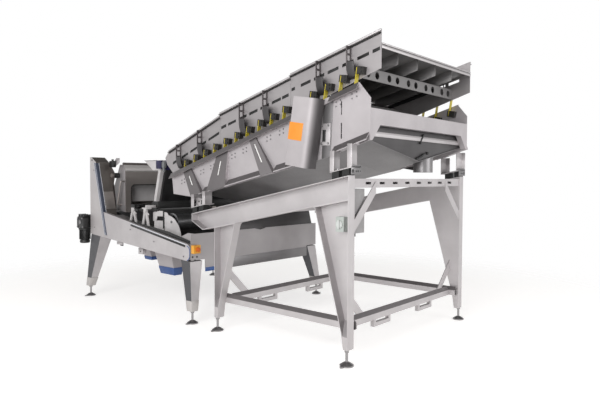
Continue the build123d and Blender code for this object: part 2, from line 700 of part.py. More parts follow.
with BuildPart() as pan_cross_plates:
    for section, bays in enumerate(CROSS_BAYS):
        for bay in bays:
            plate_x = -SPRING_PITCH * bay
            top = plate_top(section, plate_x)
            low = top - CROSS_PLATE_TALL
            plate = [(-PAN_HALF, top), (PAN_HALF, top), (PAN_HALF, low), (-PAN_HALF, low)]
            extrude(end_face(plate, plate_x), amount=SHEET, dir=(-1, 0, 0))
            with BuildSketch(Plane.YZ.offset(plate_x + 1)):
                with Locations((0, (top + low) / 2)):
                    with GridLocations(0.4 * PAN_HALF, 1, 5, 1):
                        with Locations((-HOLE_APART / 2, 0), (HOLE_APART / 2, 0)):
                            Circle(HOLE_R)
            extrude(amount=-SHEET - 2, mode=Mode.SUBTRACT)
save(pan_cross_plates.part, "pan_cross_plates")

# Wall brackets: upright fins outside each wall, windowed at the top and swept in at the bottom.
BRACKETS = ((0.70, 2.70), (6.70, 8.70), (12.70, 14.95))
FIN = 58.0
FIN_THICK = 6.0


def fin(section, bay):
    """One fin, drawn in Y and Z and leaning with the springs, at a place counted in spring pitches."""
    foot_x = -SPRING_PITCH * bay
    line = section_line(section, 22)
    foot_z = spring_line(foot_x)
    rise = (line(foot_x) - foot_z) / (UP[2] - UP[0] * (line(1) - line(0)))
    origin = (foot_x + UP[0] * rise, -PAN_OUT, foot_z + UP[2] * rise)
    tall = rise + CLAMP_GRIP
    with BuildPart() as part:
        with BuildSketch(Plane(origin=origin, x_dir=OUT, z_dir=(-ACROSS[0], 0, -ACROSS[2]))):
            with BuildLine():
                Polyline((0, -tall), (0, -FIN_THICK / 2), (FIN, -FIN_THICK / 2), (FIN, -0.5 * tall))
                ThreePointArc((FIN, -0.5 * tall), (0.72 * FIN, -0.82 * tall), (0, -tall))
            make_face()
            with Locations((FIN / 2, -0.27 * tall)):
                Rectangle(FIN - 24, 0.3 * tall, mode=Mode.SUBTRACT)
        extrude(amount=FIN_THICK / 2, both=True)
    return part.part


FINS = [fin(section, bay) for section, bays in enumerate(BRACKETS) for bay in bays]
with BuildPart() as pan_brackets:
    add(FINS)
    mirror(about=Plane.XZ)
save(pan_brackets.part, "pan_brackets")

# Vibrating drive: two cross shafts with half-round weights, turned by motors on the side plates.
STATOR_LONG = 72.0
WEIGHT_THICK = 20.0
STATOR_END = BASE_OUT + STATOR_LONG
COVER_BACK = BASE_OUT + BAR_THICK
COVER_FRONT = COVER_BACK + COVER_DEPTH
SHAFT_HALF = STATOR_END + WEIGHT_THICK + 6

with BuildPart() as vibrator_motors:
    for shaft_x, shaft_z in SHAFTS:
        extrude(disc(shaft_x, shaft_z, STATOR_R, -BASE_OUT), amount=STATOR_LONG, dir=OUT)
        bore = disc(shaft_x, shaft_z, SHAFT_R + SHAFT_PLAY, -BASE_OUT)
        extrude(bore, amount=STATOR_LONG, dir=OUT, mode=Mode.SUBTRACT)
    mirror(about=Plane.XZ)
save(vibrator_motors.part, "vibrator_motors")


def unbalance_shaft(x, z, side):
    """A cross shaft with a half-round weight outside each motor."""
    with BuildPart() as part:
        with BuildSketch(Plane.XZ.offset(STATOR_END + 3)):
            with Locations((x, z)):
                Circle(WEIGHT_R)
            with Locations((x, z + side * (WEIGHT_R / 2 + SHAFT_R * 1.5))):
                Rectangle(2 * WEIGHT_R, WEIGHT_R, mode=Mode.SUBTRACT)
        extrude(amount=WEIGHT_THICK)
        mirror(about=Plane.XZ)
        extrude(disc(x, z, SHAFT_R, SHAFT_HALF), amount=2 * SHAFT_HALF, dir=OUT)
    return part.part


save(unbalance_shaft(*SHAFTS[0], 1), "upper_unbalance_shaft")
save(unbalance_shaft(*SHAFTS[1], 1), "lower_unbalance_shaft")

# Drive covers: folded boxes, widely rounded on the feed side and open at the back.
COVER_ROUND = 0.8 * COVER_DEPTH
COVER_FOLD = 8.0


def cover_section(inset, level):
    """The cover's section across its leaning axis, at a height along that axis."""
    with BuildSketch(DRIVE.offset(level)) as drawn:
        with Locations((0, -COVER_BACK)):
            Rectangle(COVER_WIDTH, COVER_DEPTH, align=(Align.CENTER, Align.MAX))
        low, high = drawn.vertices().sort_by(Axis.Y)[:2].sort_by(Axis.X)
        fillet(low, COVER_FOLD)
        fillet(high, COVER_ROUND)
        if inset:
            offset(amount=-inset, kind=Kind.INTERSECTION)
            with Locations((0, -COVER_BACK)):
                Rectangle(COVER_WIDTH - 2 * inset, 4 * inset)
    return drawn.sketch


with BuildPart() as drive_covers:
    extrude(cover_section(0, -COVER_HEIGHT / 2), amount=COVER_HEIGHT, dir=UP)
    hollow = cover_section(COVER_SHEET, -COVER_HEIGHT / 2 + COVER_SHEET)
    extrude(hollow, amount=COVER_HEIGHT - 2 * COVER_SHEET, dir=UP, mode=Mode.SUBTRACT)
    mirror(about=Plane.XZ)
save(drive_covers.part, "drive_covers")

PLATE = (136.0, 150.0, 2.0)
with BuildPart() as cover_plate:
    with BuildSketch(Plane(origin=(DRIVE_X, -COVER_FRONT, DRIVE_Z), x_dir=ACROSS, z_dir=OUT)):
        with Locations(((PLATE[0] - COVER_WIDTH) / 2, 12)):
            Rectangle(PLATE[0], PLATE[1])
    extrude(amount=PLATE[2])
save(cover_plate.part, "cover_plate")

# Control box on the inside of the near high leg, with a screwed lid.
BOX_DEEP = 140.0
BOX_X = (-190.0, -4.0)
BOX_Z = (915.0, 1228.0)
BOX_SHEET = 3.0
LID = 12.0
box_points = [(BOX_X[0], BOX_Z[0]), (BOX_X[1], BOX_Z[0]), (BOX_X[1], BOX_Z[1]), (BOX_X[0], BOX_Z[1])]

with BuildPart() as control_box:
    extrude(face(box_points, -WEB + BOX_DEEP), amount=BOX_DEEP, dir=OUT)
    hollow = face(box_points, -WEB + BOX_DEEP, BOX_SHEET)
    extrude(hollow, amount=BOX_DEEP - BOX_SHEET, dir=OUT, mode=Mode.SUBTRACT)
save(control_box.part, "control_box")

with BuildPart() as control_lid:
    extrude(face(box_points, -WEB + BOX_DEEP + LID), amount=LID, dir=OUT)
save(control_lid.part, "control_box_lid")

# Main switch on the outside of the same leg, inside its channel.
SWITCH = (-65.0, 982.0, 68.0, 104.0)
SWITCH_DEEP = 52.0
KNOB_R = 26.0
KNOB_DEEP = 16.0
KNOB_STEM_R = 8.0
SWITCH_FACE = WEB + SHEET + SWITCH_DEEP

with BuildPart() as switch_box:
    with BuildSketch(Plane.XZ.offset(WEB + SHEET)):
        with Locations((SWITCH[0], SWITCH[1])):
            Rectangle(SWITCH[2], SWITCH[3])
    extrude(amount=SWITCH_DEEP)
    stem_hole = disc(SWITCH[0], SWITCH[1], KNOB_STEM_R + SHAFT_PLAY, -SWITCH_FACE + SWITCH_DEEP / 2)
    extrude(stem_hole, amount=SWITCH_DEEP, dir=OUT, mode=Mode.SUBTRACT)
save(switch_box.part, "main_switch_box")

with BuildPart() as switch_knob:
    stem = disc(SWITCH[0], SWITCH[1], KNOB_STEM_R, -SWITCH_FACE + SWITCH_DEEP / 2 - 1)
    extrude(stem, amount=SWITCH_DEEP / 2, dir=OUT)
    extrude(disc(SWITCH[0], SWITCH[1], KNOB_R, -SWITCH_FACE - 0.5), amount=KNOB_DEEP / 2, dir=OUT)
    with BuildSketch(Plane.XZ.offset(SWITCH_FACE)):
        with Locations((SWITCH[0], SWITCH[1])):
            Rectangle(KNOB_R * 0.6, KNOB_R * 2.2)
    extrude(amount=KNOB_DEEP + 4)
    rub = disc(SWITCH[0], SWITCH[1], 2 * KNOB_R, -SWITCH_FACE)
    ring = rub - disc(SWITCH[0], SWITCH[1], KNOB_STEM_R, -SWITCH_FACE)
    extrude(ring, amount=0.5, dir=OUT, mode=Mode.SUBTRACT)
save(switch_knob.part, "main_switch_knob")

# Sorter beams: folded side plates, rounded at the infeed end, each with the tail roller's bearing.
BEAM_IN = SORTER_HALF - BEAM_DEPTH
LOW_JOINT = tower_joint(BEAM_END_Z[0], BEAM_FALL)
TOP_JOINT = tower_joint(BEAM_END_Z[1], BEAM_RISE)
BEARING = 62.0
BEAM = [LOW_JOINT, (BEAM_END_X, BEAM_END_Z[0]), (BEAM_END_X, BEAM_END_Z[1]), TOP_JOINT]


def beam_face(y, inset=0.0):
    """The beam's outline with its infeed end rounded."""
    with BuildSketch(Plane.XZ.offset(-y)) as drawn:
        with BuildLine():
            Polyline(*BEAM, close=True)
        make_face()
        fillet(drawn.vertices().sort_by(Axis.X)[-2:], 52)
        if inset:
            offset(amount=-inset, kind=Kind.INTERSECTION)
    return drawn.sketch


with BuildPart() as sorter_beams:
    extrude(beam_face(-BEAM_IN), amount=BEAM_DEPTH, dir=OUT)
    extrude(beam_face(-BEAM_IN, SHEET), amount=BEAM_DEPTH - SHEET, dir=OUT, mode=Mode.SUBTRACT)
    with BuildSketch(Plane.XZ.offset(BEAM_IN)):
        with Locations((TAIL[0], TAIL[1])):
            Rectangle(BEARING, BEARING)
    extrude(amount=BEAM_DEPTH - SHEET / 2)
    bore = disc(TAIL[0], TAIL[1], AXLE_R + SHAFT_PLAY, -BEAM_IN)
    extrude(bore, amount=BEAM_DEPTH - SHEET, dir=OUT, mode=Mode.SUBTRACT)
    mirror(about=Plane.XZ)
save(sorter_beams.part, "sorter_beams")

# End towers: tall folded cases at the discharge end, closed on the inside by the head plates.
TOWER = [
    (TOWER_X, beam_low(TOWER_X)),
    (TOWER_X, TOWER_Z),
    (TOWER_X + 33, TOWER_Z),
    (tower_edge(TOWER_Z - 55), TOWER_Z - 55),
    LOW_JOINT,
]

with BuildPart() as towers:
    extrude(face(TOWER, -TOWER_IN), amount=TOWER_DEPTH, dir=OUT)
    extrude(face(TOWER, -TOWER_IN, SHEET), amount=TOWER_DEPTH - SHEET, dir=OUT, mode=Mode.SUBTRACT)
    mirror(about=Plane.XZ)
save(towers.part, "end_towers")

# Head plates carry the head roller, the drive roller and the hood's pivots.
HEAD_PLATE = SHEET
HEAD_IN = TOWER_IN - HEAD_PLATE
PIVOT_R = 22.0
HOOD_PIVOT = (tower_edge(HOOD_PIVOT_Z) + PIVOT_R + 10, HOOD_PIVOT_Z)
HEAD_OUTLINE = [
    (DRIVER[0] - 70, DRIVER[1] - 60),
    (DRIVER[0] - 70, DRIVER[1] + 60),
    (TOWER_X, TOWER_Z - 420),
    (TOWER_X, TOWER_Z),
    (TOWER_X + 33, TOWER_Z),
    (tower_edge(TOWER_Z - 55), TOWER_Z - 55),
    (HOOD_PIVOT[0] + 38, HOOD_PIVOT[1] + 36),
    (HOOD_PIVOT[0] + 38, HOOD_PIVOT[1] - 36),
    (tower_edge(HOOD_PIVOT[1] - 150), HOOD_PIVOT[1] - 150),
    LOW_JOINT,
    (TOWER_X, beam_low(TOWER_X)),
]
HEAD_BORES = ((HEAD[0], HEAD[1], AXLE_R), (DRIVER[0], DRIVER[1], AXLE_R), (*HOOD_PIVOT, PIVOT_R))

with BuildPart() as head_plates:
    extrude(face(HEAD_OUTLINE, -HEAD_IN), amount=HEAD_PLATE, dir=OUT)
    for bore_x, bore_z, bore_r in HEAD_BORES:
        bore = disc(bore_x, bore_z, bore_r + SHAFT_PLAY, -HEAD_IN + 1)
        extrude(bore, amount=HEAD_PLATE + 2, dir=OUT, mode=Mode.SUBTRACT)
    mirror(about=Plane.XZ)
save(head_plates.part, "head_plates")

# Sorter legs: tapered cases under the beams and towers, each with a foot plate.
LEG_TOPS = ((-1808.0, 136.0), (-3354.0, 210.0))
LEG_PLATE = 10.0
LEG_END = 66.0


def sorter_leg(foot_x, top_x, top_width):
    """One leg: a tapered tube cut off along the beam's bottom edge."""
    top_z = beam_low(top_x) + 60
    with BuildPart() as part:
        with BuildSketch(Plane.XY.offset(LEG_END_Z)):
            with Locations((foot_x, -SORTER_FOOT_HALF)):
                Rectangle(LEG_END, LEG_END)
        with BuildSketch(Plane.XY.offset(top_z)):
            with Locations((top_x, -SORTER_HALF)):
                Rectangle(top_width, TOWER_DEPTH - 1, align=(Align.CENTER, Align.MIN))
        loft()
        with BuildSketch(Plane.XY.offset(LEG_END_Z + LEG_PLATE)):
            with Locations((foot_x, -SORTER_FOOT_HALF)):
                Rectangle(LEG_END - 2 * SHEET, LEG_END - 2 * SHEET)
        with BuildSketch(Plane.XY.offset(top_z)):
            with Locations((top_x, -SORTER_HALF + SHEET)):
                depth = TOWER_DEPTH - 1 - 2 * SHEET
                Rectangle(top_width - 2 * SHEET, depth, align=(Align.CENTER, Align.MIN))
        loft(mode=Mode.SUBTRACT)
        hole = floor_disc(foot_x, -SORTER_FOOT_HALF, SPINDLE_R + SPINDLE_PLAY, LEG_END_Z - 1)
        extrude(hole, amount=LEG_PLATE + 2, dir=(0, 0, 1), mode=Mode.SUBTRACT)
        above = strip(top_x - top_width, top_x + top_width, beam_low, 0, SORTER_HALF)
        extrude(face(above, 0), amount=2 * SORTER_HALF, dir=OUT, mode=Mode.SUBTRACT)
    return part.part


SORTER_LEGS = [sorter_leg(foot_x, *top) for foot_x, top in zip(SORTER_FEET, LEG_TOPS)]
with BuildPart() as sorter_legs:
    add(SORTER_LEGS)
    mirror(about=Plane.XZ)
save(sorter_legs.part, "sorter_legs")

# Belt: one loop round the tail, head and drive rollers, over a slider bed.
ROLLER_HALF = BELT_HALF + 10
ROLLER_WALL = 5.0
ROLLER_END = 10.0


def belt_loop(extra, y):
    """The outline that a belt takes round its three rollers."""
    with BuildSketch(Plane.XZ.offset(-y)) as drawn:
        for roller_x, roller_z, roller_r in (TAIL, HEAD, DRIVER):
            with Locations((roller_x, roller_z)):
                Circle(roller_r + extra)
        make_hull()
    return drawn.sketch


with BuildPart() as conveyor_belt:
    extrude(belt_loop(SHAFT_PLAY + BELT, BELT_HALF), amount=2 * BELT_HALF, dir=OUT)
    extrude(belt_loop(SHAFT_PLAY, BELT_HALF), amount=2 * BELT_HALF, dir=OUT, mode=Mode.SUBTRACT)
save(conveyor_belt.part, "conveyor_belt")

BED = 4.0
BED_X = (TAIL[0] - 75, TOP_JOINT[0] + 60)
with BuildPart() as slider_bed:
    bed = face(strip(BED_X[1], BED_X[0], belt_under, -BED, 0), SORTER_HALF - SHEET)
    extrude(bed, amount=2 * (SORTER_HALF - SHEET), dir=OUT)
save(slider_bed.part, "slider_bed")

TAIL_END = SORTER_HALF - SHEET


def roller(place, axle, near_end, far_end):
    """A tube roller with two pierced end discs and its axle, from the near end to the far end."""
    x, z, radius = place
    bore = radius - ROLLER_WALL
    with BuildPart() as part:
        extrude(disc(x, z, radius, ROLLER_HALF), amount=2 * ROLLER_HALF, dir=OUT)
        extrude(disc(x, z, bore, ROLLER_HALF), amount=2 * ROLLER_HALF, dir=OUT, mode=Mode.SUBTRACT)
        for y in (ROLLER_HALF - ROLLER_END, 2 * ROLLER_END - ROLLER_HALF):
            with BuildSketch(Plane.XZ.offset(-y)):
                with Locations((x, z)):
                    Circle(bore)
                    with PolarLocations((bore + axle) / 2, 4):
                        Circle((bore - axle) * 0.3, mode=Mode.SUBTRACT)
            extrude(amount=ROLLER_END)
        extrude(disc(x, z, axle, far_end), amount=near_end + far_end, dir=OUT)
    return part.part


GEAR_IN = TOWER_IN + 108.0
GEAR_OUT = GEAR_IN + GEARBOX[2]
save(roller(TAIL, AXLE_R, TAIL_END - 4, TAIL_END - 4), "tail_roller")
save(roller(HEAD, AXLE_R, TOWER_IN + 8, TOWER_IN + 8), "head_roller")
save(roller(DRIVER, AXLE_R, GEAR_OUT - 8, TOWER_IN + 8), "drive_roller")

# Gear motor: a hollow-shaft gearbox, a torque arm to the tower and a motor hanging below.
MOTOR_R = 62.0
MOTOR_DROP = 150.0
with BuildPart() as gear_motor:
    with BuildSketch(Plane.XZ.offset(GEAR_IN)):
        with Locations((DRIVER[0], DRIVER[1] - 5)):
            Rectangle(GEARBOX[0], GEARBOX[1])
    extrude(amount=GEARBOX[2])
    arm_reach = TOWER_X - DRIVER[0]
    with BuildSketch(Plane.XZ.offset(GEAR_IN)):
        with Locations((DRIVER[0], DRIVER[1] - 40)):
            Rectangle(arm_reach, 46, align=(Align.MIN, Align.CENTER))
    extrude(amount=12)
    motor_top = DRIVER[1] - 5 - GEARBOX[1] / 2
    motor_mid = -(GEAR_IN + GEAR_OUT) / 2
    extrude(floor_disc(DRIVER[0], motor_mid, MOTOR_R, motor_top + 1), amount=MOTOR_DROP, dir=(0, 0, -1))
    fan_cover = floor_disc(DRIVER[0], motor_mid, MOTOR_R * 0.7, motor_top)
    extrude(fan_cover, amount=MOTOR_DROP + 18, dir=(0, 0, -1))
    bore = disc(DRIVER[0], DRIVER[1], AXLE_R + SHAFT_PLAY, -GEAR_IN)
    extrude(bore, amount=GEARBOX[2] - 6, dir=OUT, mode=Mode.SUBTRACT)
save(gear_motor.part, "gear_motor")

# Skirts beside the belt carry the background drum on its axle.
SKIRT = 4.0
SKIRT_IN = ROLLER_HALF + 10
DRUM_GAP = 25.0
DRUM_Z = belt_under(DRUM_X) + BELT + DRUM_GAP + DRUM_R
DRUM_AXLE_R = 12.0
SKIRT_LOW = (DRUM_X - 290, DRUM_X - 130)
SKIRT_HIGH = (DRUM_X - 115, DRUM_X + 150)


def skirt_face():
    """Both skirt plates of one side, the second with its infeed corner rounded."""
    with BuildSketch(Plane.XZ.offset(SKIRT_IN)) as drawn:
        with BuildLine():
            Polyline((SKIRT_LOW[0], belt_under(SKIRT_LOW[0])), (SKIRT_LOW[1], belt_under(SKIRT_LOW[1])),
                     (SKIRT_LOW[1], DRUM_Z + 5), (SKIRT_LOW[0], DRUM_Z), close=True)
        make_face()
        with BuildLine():
            Polyline((SKIRT_HIGH[1], belt_under(SKIRT_HIGH[1])), (SKIRT_HIGH[0], belt_under(SKIRT_HIGH[0])),
                     (SKIRT_HIGH[0], DRUM_Z + 40), (DRUM_X - 50, DRUM_Z + 62))
            ThreePointArc((DRUM_X - 50, DRUM_Z + 62), (DRUM_X + 80, DRUM_Z),
                          (SKIRT_HIGH[1], belt_under(SKIRT_HIGH[1])))
        make_face()
        with Locations((DRUM_X, DRUM_Z)):
            Circle(DRUM_AXLE_R + SHAFT_PLAY, mode=Mode.SUBTRACT)
    return drawn.sketch


with BuildPart() as skirts:
    extrude(skirt_face(), amount=SKIRT, dir=OUT)
    mirror(about=Plane.XZ)
save(skirts.part, "belt_skirts")

drum_end = SKIRT_IN + SKIRT + 6
save(roller((DRUM_X, DRUM_Z, DRUM_R), DRUM_AXLE_R, drum_end, drum_end), "background_drum")

# Hood: a folded case over the belt's head on two pivots, with an arched mouth and a bent-rod handle.
HOOD_Z = 968.0
HOOD_REACH = 129.0
HOOD_DROP = 45.0
HOOD_FRONT = HOOD_PIVOT[0] + HOOD_REACH
HOOD = [
    (HOOD_FRONT, HOOD_Z - HOOD_DROP),
    (HOOD_FRONT, 1378.0),
    (HOOD_FRONT - 25, 1440.0),
    (HOOD_FRONT - 110, 1440.0),
    (HOOD_FRONT - 250, 1160.0),
    (HOOD_FRONT - 175, HOOD_Z - HOOD_DROP / 2),
]

HANDLE_R = 8.0
HANDLE = [Vector(HOOD_FRONT - 12, -HOOD_HALF, 1262), Vector(HOOD_FRONT - 80, -HOOD_HALF, 1003)]
HANDLE_OFF = Vector(0, -50, 0)

with BuildPart() as hood:
    extrude(face(HOOD, HOOD_HALF), amount=2 * HOOD_HALF, dir=OUT)
    inside = HOOD_HALF - HOOD_SHEET
    extrude(face(HOOD, inside, HOOD_SHEET), amount=2 * inside, dir=OUT, mode=Mode.SUBTRACT)
    low_z = HOOD_Z - HOOD_DROP - 1
    open_low = [(HOOD_FRONT - HOOD_SHEET, low_z), (HOOD_FRONT - 171, low_z)]
    open_low += [(HOOD_FRONT - 174, HOOD_Z + 10), (HOOD_FRONT - HOOD_SHEET, HOOD_Z + 10)]
    extrude(face(open_low, inside), amount=2 * inside, dir=OUT, mode=Mode.SUBTRACT)
    with BuildSketch(Plane.YZ.offset(HOOD_FRONT - 20)):
        with Locations((0, HOOD_Z - 40)):
            RectangleRounded(2 * HOOD_HALF - 150, 2 * 292, 40)
    extrude(amount=40, mode=Mode.SUBTRACT)
    for side in (-1, 1):
        pin = disc(*HOOD_PIVOT, PIVOT_R, side * HOOD_HALF)
        extrude(pin, amount=HEAD_IN - HOOD_HALF + HEAD_PLATE + 10, dir=(0, side, 0))
    with BuildLine():
        FilletPolyline(HANDLE[0], HANDLE[0] + HANDLE_OFF, HANDLE[1] + HANDLE_OFF, HANDLE[1], radius=16)
    with BuildSketch(Plane(origin=HANDLE[0], z_dir=OUT)):
        Circle(HANDLE_R)
    sweep()
save(hood.part, "hood")

# Scanner gantry: trestles on the bed, a cross beam, posts, the scanner case and its cap.
TRESTLE_Y = TOWER_IN + 34
TRESTLE_X = (-2813.0, -2590.0)
TRESTLE_Z = 985.0
TRESTLE_THICK = 14.0
GANTRY_Z = 1060.0
POST_IN = HOOD_HALF - 40
POST = 40.0
POST_TOP = 1478.0
GANTRY_X = TRESTLE_X[1] - 22
GANTRY_LEAN = 0.27


def gantry_x(z):
    return GANTRY_X + GANTRY_LEAN * (z - GANTRY_Z)


def gantry_outline(width, low, high):
    """A block that leans with the posts, between two heights."""
    half = width / 2
    return [(gantry_x(low) - half, low), (gantry_x(low) + half, low),
            (gantry_x(high) + half, high), (gantry_x(high) - half, high)]


def trestle_face(x):
    """An A-shaped leg whose feet follow the bed."""
    with BuildSketch(Plane.XZ.offset(TRESTLE_Y)) as drawn:
        with BuildLine():
            Polyline((x - 62, belt_under(x - 62)), (x - 36, belt_under(x - 36)), (x, TRESTLE_Z - 42),
                     (x + 36, belt_under(x + 36)), (x + 62, belt_under(x + 62)), (x + 20, TRESTLE_Z),
                     (x - 20, TRESTLE_Z), close=True)
        make_face()
    return drawn.sketch


with BuildPart() as gantry_supports:
    for trestle_x in TRESTLE_X:
        extrude(trestle_face(trestle_x), amount=TRESTLE_THICK, dir=OUT)
    extrude(face(gantry_outline(POST, GANTRY_Z, POST_TOP), -POST_IN), amount=POST, dir=OUT)
    wing_low = POST_TOP - 100
    wing = [(gantry_x(POST_TOP) + POST / 2, POST_TOP), (gantry_x(POST_TOP) - 282, POST_TOP)]
    wing += [(gantry_x(wing_low) - 110, wing_low), (gantry_x(wing_low) + POST / 2, wing_low)]
    extrude(face(wing, -POST_IN - POST), amount=SHEET, dir=OUT)
    mirror(about=Plane.XZ)
save(gantry_supports.part, "gantry_supports")

beam_half = TRESTLE_Y + TRESTLE_THICK
with BuildPart() as gantry_beam:
    with BuildSketch(Plane.XZ.offset(-beam_half)):
        with Locations((GANTRY_X, (TRESTLE_Z + GANTRY_Z) / 2)):
            Rectangle(110, GANTRY_Z - TRESTLE_Z)
            Rectangle(102, GANTRY_Z - TRESTLE_Z - 8, mode=Mode.SUBTRACT)
    extrude(amount=2 * beam_half)
save(gantry_beam.part, "gantry_beam")

NOZZLES = 24
NOZZLE_R = 4.0
with BuildPart() as air_manifold:
    with BuildSketch(Plane.XZ.offset(-beam_half)):
        with Locations((TRESTLE_X[0], TRESTLE_Z + 20)):
            Rectangle(64, 40)
    extrude(amount=2 * beam_half)
    with BuildSketch(Plane.XY.offset(TRESTLE_Z)):
        with Locations((TRESTLE_X[0], 0)):
            with GridLocations(1, 54, 1, NOZZLES):
                Rectangle(2 * NOZZLE_R, 2 * NOZZLE_R)
    extrude(amount=-14)
save(air_manifold.part, "air_manifold")

SCANNER = (100.0, 320.0)
SCANNER_SHEET = 4.0
SCANNER_TOP = GANTRY_Z + SCANNER[1]
case_half = POST_IN - SCANNER_SHEET
with BuildPart() as scanner:
    extrude(face(gantry_outline(SCANNER[0], GANTRY_Z, SCANNER_TOP), POST_IN), amount=2 * POST_IN, dir=OUT)
    hollow = gantry_outline(SCANNER[0] - 2 * SCANNER_SHEET, GANTRY_Z + SCANNER_SHEET, SCANNER_TOP)
    extrude(face(hollow, case_half), amount=2 * case_half, dir=OUT, mode=Mode.SUBTRACT)
save(scanner.part, "laser_scanner")

CAP_SHEET = 3 * SCANNER_SHEET
CAP_WIDTH = SCANNER[0] + 20
cap_half = POST_IN - CAP_SHEET
with BuildPart() as scanner_cap:
    extrude(face(gantry_outline(CAP_WIDTH, SCANNER_TOP, POST_TOP), POST_IN), amount=2 * POST_IN, dir=OUT)
    hollow = gantry_outline(CAP_WIDTH - 2 * CAP_SHEET, SCANNER_TOP, POST_TOP - CAP_SHEET)
    extrude(face(hollow, cap_half), amount=2 * cap_half, dir=OUT, mode=Mode.SUBTRACT)
save(scanner_cap.part, "scanner_cap")

# Infeed hopper across the sorter's end: a notched end wall, two cheeks and a slide down to the belt.
HOPPER_X = BEAM_END_X + 12
HOPPER_Z = (480.0, 800.0)
HOPPER_SHEET = 4.0
NOTCH = 100.0
LEG_CLEAR = (TOWER_IN - 10, BEAM_END_Z[0] + 11)
WALL = [
    (-LEG_CLEAR[0], HOPPER_Z[0]),
    (-LEG_CLEAR[0], LEG_CLEAR[1]),
    (-SORTER_HALF, LEG_CLEAR[1]),
    (-SORTER_HALF, HOPPER_Z[1]),
    (-HOOD_HALF, HOPPER_Z[1]),
    (-HOOD_HALF + 280, HOPPER_Z[1] - NOTCH),
    (HOOD_HALF / 8, HOPPER_Z[1]),
    (SORTER_HALF, HOPPER_Z[1]),
    (SORTER_HALF, LEG_CLEAR[1]),
    (LEG_CLEAR[0], LEG_CLEAR[1]),
    (LEG_CLEAR[0], HOPPER_Z[0]),
]
CHEEK = [
    (HOPPER_X - HOPPER_SHEET, BEAM_END_Z[0] + 15),
    (HOPPER_X - HOPPER_SHEET, HOPPER_Z[1]),
    (HOPPER_X - 95, HOPPER_Z[1]),
    (HOPPER_X - 235, BEAM_END_Z[1] + 46),
    (HOPPER_X - 235, BEAM_END_Z[1] + 20),
    (BEAM_END_X - 5, BEAM_END_Z[1] - 12),
    (BEAM_END_X, BEAM_END_Z[0] + 15),
]
SLIDE = [
    (HOPPER_X - HOPPER_SHEET, HOPPER_Z[1] - 64),
    (TAIL[0] - 5, belt_under(TAIL[0]) + 20),
    (TAIL[0] - 5, belt_under(TAIL[0]) + 23),
    (HOPPER_X - HOPPER_SHEET, HOPPER_Z[1] - 60),
]

with BuildPart() as hopper:
    extrude(end_face(WALL, HOPPER_X - HOPPER_SHEET), amount=HOPPER_SHEET, dir=(1, 0, 0))
    extrude(face(CHEEK, -BEAM_IN + HOPPER_SHEET), amount=HOPPER_SHEET, dir=OUT)
    mirror(about=Plane.XZ)
    extrude(face(SLIDE, BEAM_IN - HOPPER_SHEET), amount=2 * (BEAM_IN - HOPPER_SHEET), dir=OUT)
save(hopper.part, "infeed_hopper")

# Drip tray and outlet chutes under the belt.
TRAY_X = (TAIL[0] - 105, LOW_JOINT[0] + 40)
CHUTES = ((-2785.0, 200.0, 120.0, 455.0), (-2452.0, 300.0, 230.0, 335.0))
CHUTE_Y = -BELT_HALF + 120
CHUTE_SHEET = 3.0
CHUTE_MOUTH = 230.0
CHUTE_END = 80.0


def chute(x, top, end, low, inset):
    """A tapered spout under the tray; the inset gives its hollow."""
    with BuildPart() as part:
        with BuildSketch(Plane.XY.offset(low)):
            with Locations((x, CHUTE_Y)):
                Rectangle(end - 2 * inset, CHUTE_END - 2 * inset)
        with BuildSketch(Plane.XY.offset(beam_low(x))):
            with Locations((x, CHUTE_Y)):
                Rectangle(top - 2 * inset, CHUTE_MOUTH - 2 * inset)
        loft()
    return part.part


TRAY_BODY = [chute(*size, 0) for size in CHUTES]
TRAY_HOLLOW = [chute(*size, CHUTE_SHEET) for size in CHUTES]
with BuildPart() as drip_tray:
    sheet = face(strip(TRAY_X[1], TRAY_X[0], beam_low, 0, CHUTE_SHEET), BEAM_IN)
    extrude(sheet, amount=2 * BEAM_IN, dir=OUT)
    add(TRAY_BODY)
    add(TRAY_HOLLOW, mode=Mode.SUBTRACT)
    for x, top, end, low in CHUTES:
        with BuildSketch(Plane.XY.offset(beam_low(x) - 20)):
            with Locations((x, CHUTE_Y)):
                Rectangle(top - 30, CHUTE_MOUTH - 30)
        extrude(amount=60, mode=Mode.SUBTRACT)
save(drip_tray.part, "drip_tray")

# Dark edge trims: along the tower's slanted edge, the beam's slot line and the chutes' lips.
TRIM = 5.0
TRIM_WIDTH = 26.0
SLOT_LINE = (-2685.0, -1800.0)
TRIM_EDGE = [
    (tower_edge(1455.0) - TRIM_WIDTH, 1455.0),
    (tower_edge(1455.0), 1455.0),
    (tower_edge(690.0), 690.0),
    (tower_edge(690.0) - TRIM_WIDTH, 690.0),
]

with BuildPart() as edge_trims:
    extrude(face(TRIM_EDGE, -SORTER_HALF), amount=TRIM, dir=OUT)
    extrude(face(strip(*SLOT_LINE, beam_top, -27, -15), -SORTER_HALF), amount=TRIM, dir=OUT)
    mirror(about=Plane.XZ)
save(edge_trims.part, "edge_trims")

# Emergency stop on the hopper's end wall.
STOP = (-SORTER_HALF + 41, 662.0, 74.0)
STOP_DEEP = 40.0
STOP_HEAD_R = 20.0
STOP_STEM_R = 11.0
STOP_TRAVEL = 5.0
STOP_FACE = HOPPER_X + STOP_DEEP


def stop_disc(x, radius):
    with BuildSketch(Plane.YZ.offset(x)) as drawn:
        with Locations((STOP[0], STOP[1])):
            Circle(radius)
    return drawn.sketch


with BuildPart() as stop_box:
    with BuildSketch(Plane.YZ.offset(HOPPER_X)):
        with Locations((STOP[0], STOP[1])):
            Rectangle(STOP[2], STOP[2])
    extrude(amount=STOP_DEEP)
    extrude(stop_disc(STOP_FACE - 30, STOP_STEM_R + 0.1), amount=31, dir=(1, 0, 0), mode=Mode.SUBTRACT)
save(stop_box.part, "emergency_stop_box")

